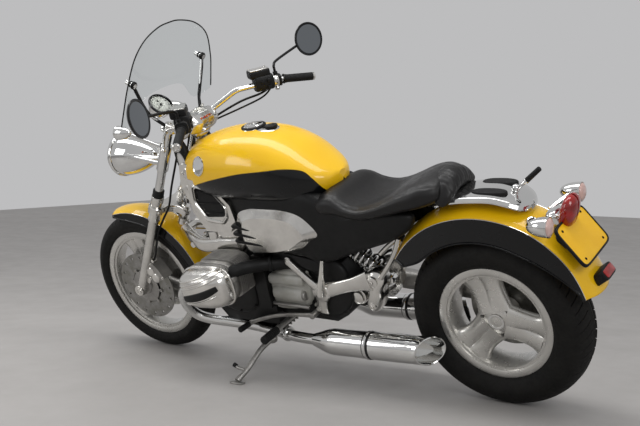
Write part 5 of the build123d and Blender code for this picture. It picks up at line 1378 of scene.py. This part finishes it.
def build_swingarm_trim():
    """Final drive: ribbed bevel housing, filler plug, rubber boot and the rear brake's bolts."""
    hub = REAR_HUB
    parts = [turned([(0, 0), (0, 84), (10, 86), (40, 80), (62, 66), (78, 50), (84, 30), (86, 0)],
                    hub + [0, -86, 0], (0, -1, 0), 72)]
    for k in range(8):
        a = 2 * math.pi * k / 8
        parts.append(bolt(round_hub(hub, -108, 74, a), (0, -1, 0), 6, 8))
        parts.append(slab(round_hub(hub, -164, 30, a + 0.3), round_hub(hub, -146, 66, a + 0.3), 3, 5,
                          up=(0, 1, 0)))
    shaft = smooth_line([(500, -116, 382), (430, -130, 366), (290, -136, 355), (130, -136, 345),
                         (46, -124, 333)], 60)
    t = np.linspace(0, 1, 60)
    r = np.interp(t, [0, 0.12, 0.5, 0.85, 1], [44, 38, 36, 40, 52])
    parts.append(carried(ring(36, 1, 1, 2.3), shaft, widths=np.stack([r, r], -1)))
    make("Drive_housing", parts, [CASTING], "chassis", sharp_deg=38)
    s = np.linspace(0, 60, 60)
    boot = [(0, 0), (0, 42)] + [(x + 1, 43 + 4 * abs(math.sin(math.pi * x / 12)))
                                for x in s] + [(62, 40), (62, 0)]
    make("Drive_boot", [turned(boot, (496, -116, 381), (1, 0.1, 0.15), 48)], [SOFT_RUBBER], "chassis",
         sharp_deg=45)
    cross = [rod((520, -70, 385), (520, 78, 385), 31, soft=4),
             rod((520, 76, 385), (520, 90, 385), 24, soft=3),
             arm_between((448, -30, 388), (448, 60, 392), 26, 20, 16),
             arm_between((510, 40, 385), (446, 30, 390), 26, 22, 22)]
    make("Arm_pivot", cross, [POLISHED], "chassis", sharp_deg=38)


PARKED_LEAN = math.radians(20)  # how far the machine leans when it is parked


def build_stand_trim():
    """Side stand: waisted leg, foot plate with upturned edges, tang and return spring."""
    pivot, way = np.array([905.0, 165, 212]), np.array([-0.225, 0.378, 0.898])
    way = way / np.linalg.norm(way)
    sine, cosine = math.sin(PARKED_LEAN), math.cos(PARKED_LEAN)
    level = np.array([0, -sine, cosine])
    foot = np.array([938.0, 377, (377 * sine - 100 * (1 - cosine)) / cosine])
    leg = smooth_line([pivot, pivot * 0.7 + foot * 0.3 + [6, 0, 6], pivot * 0.3 + foot * 0.7 + [2, 0, 2],
                       foot + level * 10], 50)
    t = np.linspace(0, 1, 50)
    r = np.interp(t, [0, 0.12, 0.8, 1], [15, 11, 10, 12])
    sole = foot + level * 0.2
    parts = [carried(ring(24, 1, 1, 2.6), leg, up=way, widths=np.stack([r, r * 0.8], -1)),
             turned([(-12, 9.4), (-12, 17), (-10, 19), (10, 19), (12, 17), (12, 9.4), (-12, 9.4)], pivot,
                    way, 48),
             tube([pivot * 0.28 + foot * 0.72, (968, 320, 160), (985, 318, 168)], 6, 24, 14),
             slab(sole, sole + level * 7.6, 30, 19, up=(0, cosine, sine), power=4, soft=2)]
    make("Stand_leg", parts, [CASTING], "side_stand", ["side_stand"], sharp_deg=38)
    make("Stand_tang_rubber", [rod((978, 318.6, 165), (992, 317.4, 171), 8.5, soft=2)], [SOFT_RUBBER],
         "side_stand")


def build_pedals():
    """Gear lever and brake pedal: bent flat arms on bosses, with a linkage rod."""
    parts = []
    for side, pivot, toe in ((1, 700, (998, 161, 267)), (-1, 760, (990, -161, 263))):
        parts.append(rod((pivot, side * 98, 322), (pivot, side * 152, 322), 12))
        path = smooth_line([(pivot, side * 140, 322), (810, side * 141, 312), (884, side * 141, 299),
                            (944, side * 150, 284), toe], 50)
        wide = np.interp(np.linspace(0, 1, 50), [0, 0.1, 0.9, 1], [9, 6.5, 6.5, 9])
        parts.append(carried(ring(20, 1, 1, 3), path, widths=np.stack([wide * 0.7, wide * 1.2], -1)))
        parts.append(rod(np.array(toe) - [0, side * 10, 0], np.array(toe) + [0, side * 16, 0], 9.5))
    parts.append(tube([(998, 232, 272), (998, 150, 266)], 8, 6, 16))
    parts.append(rod((990, -152, 262), (990, -226, 266), 10))
    make("Pedals", parts, [CASTING], "chassis", ["foot_controls"])


# ------------------------------------------------------------------ the machine
for build in (build_tank, build_seat, build_bolster, build_covers, build_side_panels, build_rocker_covers,
              build_plate, build_rack, build_tail_lamp, build_tank_fittings, build_windscreen,
              build_headlight, build_signals, build_speedometer, build_risers, build_hand_controls,
              build_mirrors, build_fork_details, build_bridges, build_cables, build_front_brakes,
              build_cylinders, build_slot_frames, build_crankcase, build_exhausts, build_shocks,
              build_footrest_castings, build_swingarm_trim, build_stand_trim, build_pedals):
    build()


# ------------------------------------------------------------------ camera and light
LENS_MM, SENSOR_MM, FAR_M = 54.2, 36.0, 60.0
EYE, AIM = (-2.1634, 2.7441, 0.8976), (0.0678, -0.3751, 0.6229)


def facing(place, target):
    """Turn that points an object's -Z from its place at the target, with Y up."""
    return (Vector(target) - Vector(place)).to_track_quat("-Z", "Y").to_euler()


# A low three-quarter view from the left rear, with a lens that is a little longer than normal.
camera = bpy.data.objects.new("Camera", bpy.data.cameras.new("Camera"))
camera.data.lens = LENS_MM
camera.data.sensor_width = SENSOR_MM
camera.data.clip_end = FAR_M
camera.location = EYE
camera.rotation_euler = facing(EYE, AIM)
bpy.context.scene.collection.objects.link(camera)
bpy.context.scene.camera = camera
bpy.context.scene.view_settings.view_transform = "Standard"


def softbox(name, place, target, width, height, watts):
    """Rectangular lamp turned towards a target."""
    lamp = bpy.data.lights.new(name, "AREA")
    lamp.shape = "RECTANGLE"
    lamp.size, lamp.size_y = width, height
    lamp.energy = watts
    made = bpy.data.objects.new(name, lamp)
    made.location = place
    made.rotation_euler = facing(place, target)
    bpy.context.scene.collection.objects.link(made)


# A long strip overhead lights the tops, and two soft boxes open the left side's shadows.
softbox("Overhead", (0.6, 0.4, 3.3), (0.6, -0.1, 0.5), 5.0, 0.9, 72)
softbox("Rear_left", (-3.6, 2.2, 2.2), (0.0, -0.2, 0.6), 1.4, 1.4, 34)
softbox("Front_left", (2.6, 3.2, 1.8), (0.3, -0.2, 0.6), 1.2, 1.6, 28)


def lit_background(tree, shown, lighting, strength):
    """Shown to camera, glossy and transmission rays as one colour, lighting as another."""
    rays = node(tree, "ShaderNodeLightPath").outputs
    seen = node(tree, "ShaderNodeMath", [(0, rays["Is Camera Ray"]), (1, rays["Is Glossy Ray"])],
                operation="MAXIMUM")
    seen = node(tree, "ShaderNodeMath", [(0, seen.outputs[0]), (1, rays["Is Transmission Ray"])],
                operation="MAXIMUM")
    lights = node(tree, "ShaderNodeBackground", Color=linear(lighting), Strength=strength)
    backdrop = node(tree, "ShaderNodeBackground", Color=linear(shown), Strength=1.0)
    mixed = node(tree, "ShaderNodeMixShader",
                 [(0, seen.outputs[0]), (1, lights.outputs[0]), (2, backdrop.outputs[0])])
    node(tree, "ShaderNodeOutputWorld", [("Surface", mixed.outputs[0])])


world = bpy.data.worlds.new("Studio")
bpy.context.scene.world = world
world.use_nodes = True
world.node_tree.nodes.clear()
lit_background(world.node_tree, "BDBDBE", "F4F4F6", 0.55)

FLOOR_M = 9  # half the side of the floor
floor_mesh = bpy.data.meshes.new("Floor")
floor_mesh.from_pydata([(x * FLOOR_M, y * FLOOR_M, 0) for x, y in ((-1, -1), (1, -1), (1, 1), (-1, 1))], [],
                       [(0, 1, 2, 3)])
floor = bpy.data.objects.new("Floor", floor_mesh)
bpy.context.scene.collection.objects.link(floor)
# Sealed concrete: pale grey with a faint cloud and a soft sheen.
floor_mesh.materials.append(finish("Sealed_floor", "AFACA9", "A8A5A2", patch_mm=500, roughness=0.55,
                                   spread=0.08))
